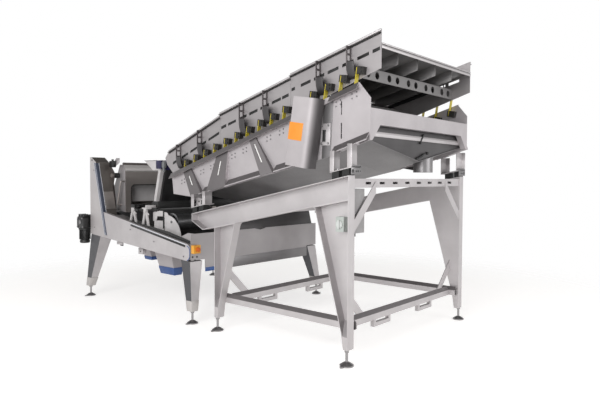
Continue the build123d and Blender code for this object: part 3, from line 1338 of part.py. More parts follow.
with BuildPart() as stop_button:
    extrude(stop_disc(STOP_FACE - 20, STOP_STEM_R), amount=30, dir=(1, 0, 0))
    extrude(stop_disc(STOP_FACE + STOP_TRAVEL + 1, STOP_HEAD_R), amount=16, dir=(1, 0, 0))
save(stop_button.part, "emergency_stop_button")
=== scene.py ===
# %% [markdown]
# A laser sorter with a vibrating infeed shaker, as used for berries and grapes. The shaker on the right
# spreads the fruit, lets juice and small waste fall through, and drops the fruit on to the sorter's belt on
# the left. The solids come from CAD, in metres, and this lesson dresses them: a camera at the
# photograph's angle, finishes that behave like the real ones, and the small pieces that CAD left out.

# %% Load the frame
from functools import partial
from math import cos, pi, radians, sin

import bpy
from mathutils import Matrix, Vector


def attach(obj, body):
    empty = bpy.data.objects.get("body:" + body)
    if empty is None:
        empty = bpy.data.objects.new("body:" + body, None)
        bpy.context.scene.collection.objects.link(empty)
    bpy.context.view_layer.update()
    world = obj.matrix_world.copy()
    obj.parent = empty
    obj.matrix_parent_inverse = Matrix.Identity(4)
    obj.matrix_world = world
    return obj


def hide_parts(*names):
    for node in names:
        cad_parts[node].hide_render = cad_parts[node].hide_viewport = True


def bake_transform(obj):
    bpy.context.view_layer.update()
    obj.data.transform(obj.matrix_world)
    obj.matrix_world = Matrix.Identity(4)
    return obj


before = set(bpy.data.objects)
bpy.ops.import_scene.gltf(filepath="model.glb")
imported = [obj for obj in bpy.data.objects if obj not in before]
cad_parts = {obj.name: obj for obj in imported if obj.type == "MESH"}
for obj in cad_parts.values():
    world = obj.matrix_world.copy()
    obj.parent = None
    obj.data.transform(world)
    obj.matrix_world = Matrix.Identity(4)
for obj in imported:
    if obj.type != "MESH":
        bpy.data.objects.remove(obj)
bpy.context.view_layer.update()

# %% [markdown]
# The drawing counts millimetres from the stand's high feet, with X towards the shaker's feed end, and the
# shared frame has its zero under the middle of the whole machine. One small function turns a point of the
# drawing into metres, so that every number below can be checked against the drawing.

# %% Points of the drawing
CENTRE_X = -1755.0


def at(x, y, z):
    return Vector((x - CENTRE_X, y, z)) / 1000


print("near high foot", at(0, -870, 0))

# %% [markdown]
# The photograph was taken with a normal lens from the operator's side, about chest high, looking a little
# down. The angles and the lens come from the upright legs, the level tubes and the feet. A camera looks
# along its own -Z, so it is tipped up by 90 degrees first, then rolled, then turned on its heel.

# %% Camera
CAMERA_PLACE = (4.0256, -3.9684, 1.300)
CAMERA_YAW = 131.1354
CAMERA_PITCH = -2.2175
CAMERA_ROLL = 0.2167
LENS_MM = 33.498
SENSOR_MM = 36.0

lens = bpy.data.cameras.new("photo_camera")
lens.sensor_fit = "HORIZONTAL"
lens.sensor_width = SENSOR_MM
lens.lens = LENS_MM
camera = bpy.data.objects.new("photo_camera", lens)
turn = Matrix.Rotation(radians(CAMERA_YAW - 90), 4, "Z")
tip = Matrix.Rotation(radians(90 + CAMERA_PITCH), 4, "X")
roll = Matrix.Rotation(radians(CAMERA_ROLL), 4, "Z")
camera.matrix_world = Matrix.Translation(CAMERA_PLACE) @ turn @ tip @ roll
bpy.context.scene.collection.objects.link(camera)
bpy.context.scene.camera = camera
print("camera at", camera.location[:])

# %% [markdown]
# Colours are written as sRGB hex values, as a colour picker gives them, and Blender's shaders count in
# linear light, so one function converts them. A second one sets a node's sockets: a socket that is given
# another node's output is linked, and any other value is typed in. A third adds a node with its settings
# and sockets, and a fourth starts a finish with the shader and the coordinates that all of them share.

# %% Colours, nodes and finishes
def linear(code):
    parts = [int(code[i : i + 2], 16) / 255 for i in (1, 3, 5)]
    return (*[c / 12.92 if c <= 0.04045 else ((c + 0.055) / 1.055) ** 2.4 for c in parts], 1.0)


def set_sockets(tree, node, sockets):
    for socket, value in sockets.items():
        if isinstance(value, bpy.types.NodeSocket):
            tree.links.new(value, node.inputs[socket])
        else:
            node.inputs[socket].default_value = value


def add_node(tree, kind, sockets=None, **settings):
    node = tree.nodes.new(kind)
    for name, value in settings.items():
        setattr(node, name, value)
    set_sockets(tree, node, sockets or {})
    return node


def new_finish(name):
    """A new material with its nodes, its shader and its coordinates."""
    finish = bpy.data.materials.new(name)
    finish.use_nodes = True
    tree = finish.node_tree
    return finish, tree, tree.nodes["Principled BSDF"], add_node(tree, "ShaderNodeTexCoord")


def per_metre(size_mm):
    """A texture's scale for a pattern of this size in millimetres."""
    return 1000 / size_mm


print("steel grey in linear light", [round(c, 3) for c in linear("#c3bfc0")])

# %% [markdown]
# Most of the machine is stainless steel sheet, cut by laser, folded, welded and then blasted with glass
# beads. Blasting leaves a fine, even grain that scatters light, so the steel looks soft grey and shows
# no mirror image, with faint clouds where the nozzle passed. Sheet that leans back, even a little, gets a
# painted shade that makes it far darker than upright sheet. The painted shade follows the face's own slope,
# so it stays where it is from every side. Some copies take the slope along another axis, and the deck's is
# painted light. A plain grey metal would show none of this.

# %% Blasted stainless steel
def blasted_steel(name, pale, deep, shade_colour, metallic, rough, axis="Z", starts=0.02, full=0.09):
    """Bead-blasted sheet: clouds about 240 mm wide, smudges about 45 mm, and a grain drawn at 5 mm,
    since the real 0.1 mm grain is too fine to show. A painted shade grows with a face's slope along one
    axis, from the slope where it starts to the slope where it is full."""
    steel, tree, skin, surface = new_finish(name)
    place = surface.outputs["Object"]
    clouds = add_node(tree, "ShaderNodeTexNoise", {"Vector": place, "Scale": per_metre(240), "Detail": 4.0})
    smudges = add_node(tree, "ShaderNodeTexNoise", {"Vector": place, "Scale": per_metre(45), "Detail": 3.0})
    grain = add_node(tree, "ShaderNodeTexNoise", {"Vector": place, "Scale": per_metre(5), "Detail": 2.0})
    tone = add_node(tree, "ShaderNodeMapRange",
                    {"Value": clouds.outputs["Fac"], "From Min": 0.35, "From Max": 0.65})
    unshaded_tone = add_node(tree, "ShaderNodeMix",
                     {"Factor": tone.outputs[0], "A": linear(deep), "B": linear(pale)}, data_type="RGBA")
    slope = add_node(tree, "ShaderNodeSeparateXYZ", {0: surface.outputs["Normal"]}).outputs[axis]
    if axis == "Y":
        # The near and the far face alike.
        slope = add_node(tree, "ShaderNodeMath", {0: slope}, operation="ABSOLUTE").outputs[0]
    # Painted colour on sloping faces: painted shade on most copies, painted light on the deck.
    lean = add_node(tree, "ShaderNodeMapRange", {"Value": slope, "From Min": starts, "From Max": full})
    colour = add_node(tree, "ShaderNodeMix",
                      {"Factor": lean.outputs[0], "A": unshaded_tone.outputs["Result"], "B": linear(shade_colour)},
                      data_type="RGBA")
    gloss = add_node(tree, "ShaderNodeMapRange",
                     {"Value": smudges.outputs["Fac"], "From Min": 0.3, "From Max": 0.7,
                      "To Min": rough - 0.05, "To Max": rough + 0.07})
    bump = add_node(tree, "ShaderNodeBump",
                    {"Height": grain.outputs["Fac"], "Strength": 0.06, "Distance": 0.002})
    set_sockets(tree, skin, {"Metallic": metallic, "Base Color": colour.outputs["Result"],
                             "Roughness": gloss.outputs[0], "Normal": bump.outputs[0]})
    return steel


# These copies differ in the painted colour of their sloping faces, set for the light where each part stands:
# dark painted shade on the lower frame, base and towers, a pale one on the frame.
blasted_lower = blasted_steel("blasted_stainless_lower", "#c4c0c1", "#bab6b7", "#767273", 0.55, 0.46)
blasted_frame = blasted_steel("blasted_stainless_frame", "#c4c0c1", "#bab6b7", "#a5a1a2", 0.55, 0.46)
blasted_base = blasted_steel("blasted_stainless_base", "#bdb8ba", "#b2adaf", "#6f6b6c", 0.55, 0.44)
blasted_tower = blasted_steel("blasted_stainless_tower", "#c0bcbc", "#b8b3b3", "#65605c", 0.55, 0.46)
# The deck's steel is painted dark as painted shade for the pan's underside, and its upward faces are painted
# pale as painted light.
blasted_deck = blasted_steel("blasted_stainless_deck", "#8d8b8b", "#777575", "#bdbab9", 0.45, 0.42)
# The sorter's legs get painted shade on their near and far faces, the drive's cover painted shade where it
# bends to the feed end.
blasted_leg = blasted_steel("blasted_stainless_sorter_leg", "#c2bebf", "#b6b2b3", "#57575a", 0.55, 0.44,
                            "Y", 0.6, 0.9)
bent_cover = blasted_steel("blasted_stainless_cover", "#b9b4b6", "#ada8aa", "#565354", 0.2, 0.55,
                           "X", 0.45, 0.95)
print([m.name for m in (blasted_lower, blasted_frame, blasted_base, blasted_tower, blasted_deck)])

# %% [markdown]
# Covers, trays and the hood are thinner sheet with a ground finish: an abrasive belt leaves fine parallel
# lines along the sheet, and the reflection smears across them. Noise that is stretched a hundred times
# along one axis draws such lines without any picture.

# %% Ground stainless steel
ALONG_X = (0.01, 1.0, 1.0)
ALONG_Y = (1.0, 0.01, 1.0)
ALONG_Z = (1.0, 1.0, 0.01)


def ground_steel(name, pale, deep, metallic, rough, stretch):
    """Belt-ground sheet: lines drawn 4 mm apart and about 400 mm long, in place of the real 0.2 mm that
    would not show, and a sheen in patches about 310 mm wide."""
    steel, tree, skin, surface = new_finish(name)
    place = surface.outputs["Object"]
    along = add_node(tree, "ShaderNodeMapping", {"Vector": place, "Scale": stretch})
    lines = add_node(tree, "ShaderNodeTexNoise",
                     {"Vector": along.outputs[0], "Scale": per_metre(4), "Detail": 2.0})
    sheen = add_node(tree, "ShaderNodeTexNoise", {"Vector": place, "Scale": per_metre(310), "Detail": 3.0})
    fine = add_node(tree, "ShaderNodeMath", {0: lines.outputs["Fac"], 1: 0.35}, operation="MULTIPLY")
    both = add_node(tree, "ShaderNodeMath", {0: sheen.outputs["Fac"], 1: fine.outputs[0]}, operation="ADD")
    tone = add_node(tree, "ShaderNodeMapRange", {"Value": both.outputs[0], "From Min": 0.4, "From Max": 0.95})
    colour = add_node(tree, "ShaderNodeMix",
                      {"Factor": tone.outputs[0], "A": linear(deep), "B": linear(pale)}, data_type="RGBA")
    gloss = add_node(tree, "ShaderNodeMapRange",
                     {"Value": lines.outputs["Fac"], "From Min": 0.3, "From Max": 0.7,
                      "To Min": rough - 0.06, "To Max": rough + 0.08})
    bump = add_node(tree, "ShaderNodeBump",
                    {"Height": lines.outputs["Fac"], "Strength": 0.05, "Distance": 0.001})
    set_sockets(tree, skin, {"Metallic": metallic, "Base Color": colour.outputs["Result"],
                             "Roughness": gloss.outputs[0], "Normal": bump.outputs[0]})
    return steel


# These copies are one ground stainless steel with colours set for the light where each part stands: the bright
# and pale copies are painted light, and the fin, trough, web, dark and shade copies are painted shade.
ground_cover = ground_steel("ground_stainless_cover", "#b9b4b6", "#ada8aa", 0.2, 0.55, ALONG_Z)
ground_pan = ground_steel("ground_stainless_pan", "#aca8a9", "#9c9899", 0.6, 0.42, ALONG_X)
ground_fin = ground_steel("ground_stainless_fin", "#686364", "#565152", 0.7, 0.42, ALONG_Z)
ground_trough = ground_steel("ground_stainless_trough", "#878586", "#737172", 0.7, 0.38, ALONG_Y)
ground_hood = ground_steel("ground_stainless_hood", "#aaa39f", "#958e8a", 0.65, 0.36, ALONG_Y)
ground_wall = ground_steel("ground_stainless_wall", "#aeaaab", "#9d999a", 0.6, 0.40, ALONG_Y)
# Painted shade: this copy is dark for sheets that lie in shade.
ground_shade = ground_steel("ground_stainless_painted_shade", "#565455", "#434142", 0.6, 0.42, ALONG_Y)
bright_sheet = ground_steel("ground_stainless_bright", "#c9c5c3", "#b5b1af", 0.55, 0.40, ALONG_Y)
pale_sheet = ground_steel("ground_stainless_pale", "#aeaaab", "#9a9697", 0.5, 0.44, ALONG_Z)
ground_web = ground_steel("ground_stainless_web", "#8a8888", "#757373", 0.6, 0.40, ALONG_X)
ground_dark = ground_steel("ground_stainless_inner", "#7a7472", "#645d5a", 0.75, 0.40, ALONG_Y)
print([m.name for m in (ground_cover, ground_pan, ground_fin, ground_web, ground_trough, ground_hood)])

# %% [markdown]
# Rollers, shafts and the feet's spindles are turned on a lathe. The tool leaves rings round the axis, which
# stretch the highlight along the roller. The rollers lie along Y and the spindles stand along Z, so
# noise squeezed along that axis and stretched across it draws the rings.

# %% Turned steel
ROUND_Y = (0.01, 1.0, 0.01)
ROUND_Z = (0.01, 0.01, 1.0)


def turned_steel(name, pale, deep, rough, stretch):
    """Lathe rings, drawn 3 mm apart so that they show."""
    steel, tree, skin, surface = new_finish(name)
    across = add_node(tree, "ShaderNodeMapping", {"Vector": surface.outputs["Object"], "Scale": stretch})
    rings = add_node(tree, "ShaderNodeTexNoise",
                     {"Vector": across.outputs[0], "Scale": per_metre(3), "Detail": 2.0})
    colour = add_node(tree, "ShaderNodeMix",
                      {"Factor": rings.outputs["Fac"], "A": linear(deep), "B": linear(pale)}, data_type="RGBA")
    gloss = add_node(tree, "ShaderNodeMapRange",
                     {"Value": rings.outputs["Fac"], "From Min": 0.3, "From Max": 0.7,
                      "To Min": rough - 0.06, "To Max": rough + 0.1})
    bump = add_node(tree, "ShaderNodeBump",
                    {"Height": rings.outputs["Fac"], "Strength": 0.12, "Distance": 0.001})
    set_sockets(tree, skin, {"Metallic": 0.9, "Base Color": colour.outputs["Result"],
                             "Roughness": gloss.outputs[0], "Normal": bump.outputs[0]})
    return steel


turned_roller = turned_steel("turned_roller_steel", "#8c8c8d", "#6d6d6e", 0.32, ROUND_Y)
turned_foot = turned_steel("turned_foot_steel", "#a9a7a8", "#838182", 0.30, ROUND_Z)
print(turned_roller.name, turned_foot.name)

# %% [markdown]
# The rest is coated or moulded: paint, powder coat, anodised aluminium, ABS and rubber. What these
# share is an even colour with a slight cloudiness, a fine orange peel or grain, and dust that dulls the
# gloss in patches. They differ in gloss, in the size of the grain and in how much the colour drifts.

# %% Coated and moulded surfaces
def coated(name, main, drift, rough, grain_mm, depth, metallic=0.0):
    """A coat or moulding: colour clouds 120 mm wide, dust patches 30 mm wide, a grain of the given size."""
    coat, tree, skin, surface = new_finish(name)
    place = surface.outputs["Object"]
    clouds = add_node(tree, "ShaderNodeTexNoise", {"Vector": place, "Scale": per_metre(120), "Detail": 4.0})
    dust = add_node(tree, "ShaderNodeTexNoise", {"Vector": place, "Scale": per_metre(30), "Detail": 5.0})
    grain = add_node(tree, "ShaderNodeTexNoise", {"Vector": place, "Scale": per_metre(grain_mm), "Detail": 2.0})
    tone = add_node(tree, "ShaderNodeMapRange",
                    {"Value": clouds.outputs["Fac"], "From Min": 0.35, "From Max": 0.65})
    colour = add_node(tree, "ShaderNodeMix",
                      {"Factor": tone.outputs[0], "A": linear(main), "B": linear(drift)}, data_type="RGBA")
    gloss = add_node(tree, "ShaderNodeMapRange",
                     {"Value": dust.outputs["Fac"], "From Min": 0.35, "From Max": 0.7,
                      "To Min": rough - 0.05, "To Max": rough + 0.12})
    bump = add_node(tree, "ShaderNodeBump",
                    {"Height": grain.outputs["Fac"], "Strength": depth, "Distance": grain_mm / 2000})
    set_sockets(tree, skin, {"Metallic": metallic, "Base Color": colour.outputs["Result"],
                             "Roughness": gloss.outputs[0], "Normal": bump.outputs[0]})
    return coat


# Moulded natural rubber: matt, near black, with a bloom of grey.
# Also the black strips that stand as painted shade under the pan's rim and in its slots.
rubber = coated("isolator_rubber", "#0e0e0e", "#161616", 0.62, 6, 0.15)
# Cast aluminium with a black coat: a sandy skin, worn a little towards grey.
black_cast = coated("black_coated_casting", "#100e0b", "#1b1814", 0.55, 7, 0.25)
# Enamel on black castings and the scanner's bridge: thick, soft-edged, half gloss.
black_enamel = coated("black_drive_enamel", "#161616", "#242424", 0.42, 9, 0.2)
# Black anodised aluminium of the scanner: even and satin.
black_anodised = coated("black_anodised_case", "#252425", "#343334", 0.34, 5, 0.04, 0.3)
# Anodised aluminium edge strips, blue-grey.
blue_anodised = coated("blue_anodised_trim", "#4a5060", "#5a6070", 0.36, 5, 0.04, 0.5)
# Dark blue ABS of the scanner's caps.
navy_abs = coated("navy_abs_cap", "#120d3a", "#1a1550", 0.38, 6, 0.06)
# White powder coat with orange peel about 8 mm across.
white_powder = coated("white_powder_coat", "#d2cfcf", "#c4c1c1", 0.45, 8, 0.12)
# Grey powder coat of the control box.
grey_powder = coated("grey_powder_coat", "#a3a1a2", "#979596", 0.5, 8, 0.12)
# Grey enamel of the vibrator motors.
grey_enamel = coated("grey_motor_enamel", "#77797a", "#686a6b", 0.45, 9, 0.2)
# Printed film on a plate: even orange with a satin face.
orange_film = coated("orange_film", "#f59a38", "#f0922f", 0.48, 5, 0.03)
# ABS mouldings of the emergency stop, the main switch and the small black fittings.
yellow_abs = coated("yellow_abs", "#eaa93c", "#e39f33", 0.4, 5, 0.05)
orange_abs = coated("orange_abs", "#d9691f", "#cf5f18", 0.35, 5, 0.04)
pale_abs = coated("pale_abs", "#b9bfbb", "#aeb5b0", 0.42, 5, 0.05)
grey_abs = coated("grey_abs", "#cfd2d0", "#c4c8c5", 0.4, 5, 0.06)
# Also the dark discs and plates that stand as painted shade in holes and slots.
black_abs = coated("black_abs", "#151515", "#1f1f1f", 0.4, 5, 0.08)
# Blue PVC lips and strips below the belt.
blue_pvc = coated("blue_pvc", "#2f4d86", "#3a5992", 0.42, 6, 0.05)
# White plates that stand as painted light in the ribs' slits, where the background shows through, and painted
# highlights along sheet edges.
slit_painted_light = coated("white_painted_light_in_slits", "#f1f0ee", "#e8e7e5", 0.5, 6, 0.05)
painted_highlight = coated("painted_edge_highlight", "#d5d6dc", "#c9cad2", 0.35, 5, 0.03, 0.3)
print("finishes so far", len([m for m in bpy.data.materials if m.use_nodes]))

# %% [markdown]
# Each leaf spring is a strip of glass fibre in yellow epoxy. The strands run along the strip, so it has
# fine streaks from clamp to clamp, and the resin is a little clear, which gives it a waxy gloss.

# %% Glass-fibre strip
fibreglass, tree, skin, surface = new_finish("yellow_glass_fibre")
# Strands drawn 2 mm wide and about 200 mm long, since the real ones are too fine to show.
strands = add_node(tree, "ShaderNodeMapping", {"Vector": surface.outputs["Object"], "Scale": ALONG_Z})
streaks = add_node(tree, "ShaderNodeTexNoise",
                   {"Vector": strands.outputs[0], "Scale": per_metre(2), "Detail": 3.0})
colour = add_node(tree, "ShaderNodeMix",
                  {"Factor": streaks.outputs["Fac"], "A": linear("#b5a11c"), "B": linear("#d9c93c")},
                  data_type="RGBA")
gloss = add_node(tree, "ShaderNodeMapRange", {"Value": streaks.outputs["Fac"], "To Min": 0.28, "To Max": 0.5})
bump = add_node(tree, "ShaderNodeBump", {"Height": streaks.outputs["Fac"], "Strength": 0.1, "Distance": 0.001})
set_sockets(tree, skin, {"Base Color": colour.outputs["Result"], "Roughness": gloss.outputs[0],
                         "Normal": bump.outputs[0], "Subsurface Weight": 0.08,
                         "Subsurface Radius": (0.006, 0.005, 0.001)})
print(fibreglass.name)

# %% [markdown]
# The belt is woven polyester under black polyurethane. From close by the weave shows through as a fine
# check, and the top is rubbed a little paler in lanes along the run. Two sets of waves, crossed, draw the
# weave, at 6 mm in place of the real 1 mm so that it shows.

# %% Belt
LANES = (0.05, 1.0, 0.05)
WEAVE = per_metre(6) / 3
belt_cloth, tree, skin, surface = new_finish("black_polyurethane_belt")
place = surface.outputs["Object"]
lanes = add_node(tree, "ShaderNodeMapping", {"Vector": place, "Scale": LANES})
rubbed = add_node(tree, "ShaderNodeTexNoise",
                  {"Vector": lanes.outputs[0], "Scale": per_metre(70), "Detail": 3.0})
colour = add_node(tree, "ShaderNodeMix",
                  {"Factor": rubbed.outputs["Fac"], "A": linear("#1a1a1b"), "B": linear("#313132")},
                  data_type="RGBA")
warp = add_node(tree, "ShaderNodeTexWave", {"Vector": place, "Scale": WEAVE}, bands_direction="Y")
weft = add_node(tree, "ShaderNodeTexWave", {"Vector": place, "Scale": WEAVE}, bands_direction="X")
weave = add_node(tree, "ShaderNodeMath", {0: warp.outputs["Fac"], 1: weft.outputs["Fac"]}, operation="MULTIPLY")
gloss = add_node(tree, "ShaderNodeMapRange", {"Value": rubbed.outputs["Fac"], "To Min": 0.42, "To Max": 0.62})
bump = add_node(tree, "ShaderNodeBump", {"Height": weave.outputs[0], "Strength": 0.15, "Distance": 0.001})
set_sockets(tree, skin, {"Base Color": colour.outputs["Result"], "Roughness": gloss.outputs[0],
                         "Normal": bump.outputs[0]})
print(belt_cloth.name)

# %% [markdown]
# Every CAD node gets its finish here, also the few that a more detailed piece stands for further down. Only
# the object's material slot changes; the solids themselves stay as the frame gave them.

# %% Finishes of the CAD nodes
FINISHES = {
    blasted_lower: ["lower_frame"],
    blasted_frame: ["stand_legs", "stand_side_rails", "stand_cross_rails", "fork_pockets",
                    "corner_braces", "isolator_brackets", "sorter_beams"],
    blasted_tower: ["end_towers"],
    blasted_leg: ["sorter_legs"],
    blasted_base: ["base_sides", "base_end_channel", "base_cross_tubes"],
    ground_cover: ["drive_covers", "drip_tray"],
    ground_pan: ["pan_walls"],
    ground_fin: ["pan_brackets"],
    blasted_deck: ["pan_decks"],
    ground_web: ["pan_stringers", "pan_cross_plates"],
    ground_trough: ["drip_pan", "slider_bed"],
    ground_hood: ["hood"],
    ground_wall: ["infeed_hopper"],
    ground_dark: ["head_plates"],
    turned_roller: ["drive_roller", "head_roller", "tail_roller", "background_drum",
                    "upper_unbalance_shaft", "lower_unbalance_shaft"],
    turned_foot: [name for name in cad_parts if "_foot_" in name],
    rubber: ["rubber_isolators"],
    black_cast: ["upper_spring_clamps", "lower_spring_clamps"],
    black_enamel: ["gear_motor", "gantry_beam", "air_manifold"],
    black_anodised: ["laser_scanner"],
    blue_anodised: ["edge_trims"],
    navy_abs: ["scanner_cap"],
    white_powder: ["gantry_supports", "belt_skirts"],
    grey_powder: ["control_box", "control_box_lid"],
    grey_enamel: ["vibrator_motors"],
    orange_film: ["cover_plate"],
    yellow_abs: ["emergency_stop_box"],
    orange_abs: ["emergency_stop_button"],
    pale_abs: ["main_switch_box"],
    grey_abs: ["main_switch_knob"],
    fibreglass: ["leaf_springs"],
    belt_cloth: ["conveyor_belt"],
}
for finish, names in FINISHES.items():
    for name in names:
        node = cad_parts[name]
        node.data.materials.clear()
        node.data.materials.append(finish)
left = set(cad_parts) - {name for names in FINISHES.values() for name in names}
print("nodes without a finish:", sorted(left))

# %% [markdown]
# CAD left out the small pieces, and they are modelled here as by hand. The first helpers are the moves that
# come back all the time: picking a piece or some of its faces, applying a modifier, turning faces outwards.
# An operator works on all that is selected, so each helper deselects everything first.

# %% Picking and modifying
SHARP = radians(40)
SMOOTH = radians(35)


def pick(piece):
    bpy.ops.object.select_all(action="DESELECT")
    piece.select_set(True)
    bpy.context.view_layer.objects.active = piece
    return piece


def pick_faces(piece, test):
    """Leaves a piece in edit mode, with those faces selected whose normal passes a test."""
    pick(piece)
    bpy.ops.object.mode_set(mode="EDIT")
    bpy.ops.mesh.select_mode(type="FACE")
    bpy.ops.mesh.select_all(action="DESELECT")
    bpy.ops.object.mode_set(mode="OBJECT")
    for side in piece.data.polygons:
        side.select = test(side.normal)
    bpy.ops.object.mode_set(mode="EDIT")
    return piece


def apply_place(piece):
    pick(piece)
    bpy.ops.object.transform_apply(location=True, rotation=True, scale=True)
    return piece


def outward(piece):
    pick(piece)
    bpy.ops.object.mode_set(mode="EDIT")
    bpy.ops.mesh.select_all(action="SELECT")
    bpy.ops.mesh.normals_make_consistent(inside=False)
    bpy.ops.object.mode_set(mode="OBJECT")
    return piece


def modified(piece, kind, **settings):
    """A piece with one modifier, applied."""
    pick(piece)
    change = piece.modifiers.new(kind.lower(), kind)
    for name, value in settings.items():
        setattr(change, name, value)
    bpy.ops.object.modifier_apply(modifier=change.name)
    return piece


def softened(piece, width, segments=2):
    """Rounds a piece's sharp edges by a width in millimetres."""
    return modified(piece, "BEVEL", width=width / 1000, segments=segments, limit_method="ANGLE",
                    angle_limit=SHARP)


def hollowed(piece, test, thick, offset):
    """A shell: the faces whose normal passes a test go, and the rest gets a thickness in millimetres,
    inwards with an offset of -1 and outwards with 1."""
    pick_faces(piece, test)
    bpy.ops.mesh.delete(type="FACE")
    bpy.ops.object.mode_set(mode="OBJECT")
    return modified(piece, "SOLIDIFY", thickness=thick / 1000, offset=offset)


def cut_out(piece, tool):
    """The piece with the tool's shape taken out of it; the tool goes."""
    modified(piece, "BOOLEAN", object=tool, operation="DIFFERENCE")
    bpy.data.objects.remove(tool)
    return piece


def both_sides(piece):
    """The piece and its mirror image on the far side."""
    return outward(modified(piece, "MIRROR", use_axis=(False, True, False), use_mirror_merge=False))


print("edges sharper than", round(SHARP, 2), "radians are rounded")

# %% [markdown]
# Most pieces are cut and folded sheet, so one helper fills an outline from the drawing and extrudes it. Two
# short forms of it serve plates that stand along the machine and across it. Blocks come from the same
# helper, and bars from a cylinder between two points, with their rims broken.

# %% Plates, blocks and bars
def plate(outline, push, soft=1.0):
    """A plate: a filled circle with a corner at each point of the outline, extruded by a push, all in
    millimetres."""
    bpy.ops.object.select_all(action="DESELECT")
    bpy.ops.mesh.primitive_circle_add(vertices=len(outline), fill_type="NGON")
    piece = bpy.context.object
    for corner, point in zip(piece.data.vertices, outline):
        corner.co = at(*point)
    bpy.ops.object.mode_set(mode="EDIT")
    bpy.ops.mesh.select_all(action="SELECT")
    bpy.ops.mesh.extrude_region_move(TRANSFORM_OT_translate={"value": Vector(push) / 1000})
    bpy.ops.object.mode_set(mode="OBJECT")
    outward(piece)
    return softened(piece, soft) if soft else piece


def side_plate(y, outline, push, soft=1.0):
    """A plate along the machine: an outline of x and z at one y, extruded across the machine."""
    return plate([(x, y, z) for x, z in outline], (0, push, 0), soft)


def end_plate(x, outline, push, soft=1.0):
    """A plate across the machine: an outline of y and z at one x, extruded along the machine."""
    return plate([(x, y, z) for y, z in outline], (push, 0, 0), soft)


def rectangle(left, low, right, high):
    """The corners of a rectangle in a plane of the drawing."""
    return [(left, low), (right, low), (right, high), (left, high)]


def block(low, high, soft=2.0):
    """A block between two opposite corners."""
    (x0, y0, z0), (x1, y1, z1) = low, high
    return plate([(x, y, z0) for x, y in rectangle(x0, y0, x1, y1)], (0, 0, z1 - z0), soft)


def round_bar(start, end, radius, sides=24, soft=1.5):
    """A turned bar between two points, with its rims broken."""
    along = at(*end) - at(*start)
    bpy.ops.object.select_all(action="DESELECT")
    bpy.ops.mesh.primitive_cylinder_add(vertices=sides, radius=radius / 1000, depth=along.length,
                                        location=(at(*start) + at(*end)) / 2,
                                        rotation=along.to_track_quat("Z", "Y").to_euler())
    bar = apply_place(bpy.context.object)
    return softened(bar, soft) if soft else bar


print("a rectangle has the corners", rectangle(0, 0, 2, 1))

# %% [markdown]
# A piece is finished when it is one object with a name, a finish and the body that it moves with.
# Near-side pieces are mirrored to the far side on the way.

# %% Finishing a piece
def joined(pieces):
    bpy.ops.object.select_all(action="DESELECT")
    for piece in pieces:
        piece.select_set(True)
    bpy.context.view_layer.objects.active = pieces[0]
    if len(pieces) > 1:
        bpy.ops.object.join()
    return pieces[0]


def dressed(pieces, name, finish):
    """Pieces joined to one object with its name and its finish."""
    piece = apply_place(joined(pieces))
    bpy.ops.object.shade_smooth_by_angle(angle=SMOOTH)
    piece.name = piece.data.name = name
    piece.data.materials.clear()
    piece.data.materials.append(finish)
    print(name, len(piece.data.polygons), "faces")
    return piece


def finished(pieces, name, finish, body="frame"):
    """Pieces dressed as one and handed to the body that they move with."""
    piece = dressed(pieces, name, finish)
    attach(piece, body)
    return piece


def paired(pieces, name, finish, body="frame"):
    """Near-side pieces and their mirror images, finished as one."""
    return finished([both_sides(joined(pieces))], name, finish, body)


print("the new pieces join", len(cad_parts), "CAD nodes")

# %% [markdown]
# A bolt head is wanted in many places, so it is modelled once: a washer whose top face is inset and
# extruded. Copies, each with its own mesh, are then spread over the drawing's points.

# %% Bolt heads and copies
WASHER = 0.003
TO_TOP = (0, 0, 0)
TO_NEAR = (radians(90), 0, 0)
TO_FAR = (radians(-90), 0, 0)
TO_BACK = (0, radians(-90), 0)


def bolt_head(radius):
    """A head on its washer at the origin, facing +Z."""
    bpy.ops.object.select_all(action="DESELECT")
    bpy.ops.mesh.primitive_cylinder_add(vertices=12, radius=1.5 * radius / 1000, depth=WASHER,
                                        location=(0, 0, WASHER / 2))
    head = pick_faces(apply_place(bpy.context.object), lambda normal: normal.z > 0.9)
    bpy.ops.mesh.inset(thickness=0.5 * radius / 1000)
    bpy.ops.mesh.extrude_region_move(TRANSFORM_OT_translate={"value": (0, 0, 0.7 * radius / 1000)})
    bpy.ops.object.mode_set(mode="OBJECT")
    return head


def spread(model, places, turn):
    """Copies of a small piece at points of the drawing, turned alike and joined; the model itself goes."""
    copies = []
    for place in places:
        one = model.copy()
        one.data = model.data.copy()
        one.rotation_euler = turn
        one.location = at(*place)
        bpy.context.scene.collection.objects.link(one)
        copies.append(one)
    bpy.data.objects.remove(model)
    return apply_place(joined(copies))


def moved(dx, dy, dz):
    """The place of a copy that lies this far from a model drawn where the first one belongs."""
    return (CENTRE_X + dx, dy, dz)


print("a head that faces +Z is turned by", [round(a, 2) for a in TO_NEAR], "to face the near side")

# %% [markdown]
# The drawing's faces and sloping lines are written once, because many pieces follow them: the near faces of
# the pan, the shaker base and the sorter's beam, the shaker base's top and bottom edge, the row of
# springs, the pan's three sections, the stand's rail, the sorter's beam and the tower's slanted edge.

# %% Faces and sloping lines of the drawing
PAN_SIDE = -708
BASE_SIDE = -763
BEAM_SIDE = -873
END_WALL = -1723
PITCH, SPRINGS = 139, 15
SPRING_RISE = 0.315
# From a spring's upper clamp to its lower one.
CLAMP_X, CLAMP_Z = -29, -173
BASE_KNOTS = ((-2124, 1149), (-1824, 1125), (-262, 1455), (108, 1565))
WALL_TOPS = (((155, 2323), (-676, 2116.2)),
             ((-678, 2097.7), (-1515, 1875.3)),
             ((-1517, 1851.6), (-2265, 1566.4)))


def rising(level, rise, start=0):
    """A straight line of the drawing: its level where it starts, and its rise for each millimetre."""
    return lambda run: level + rise * (run - start)


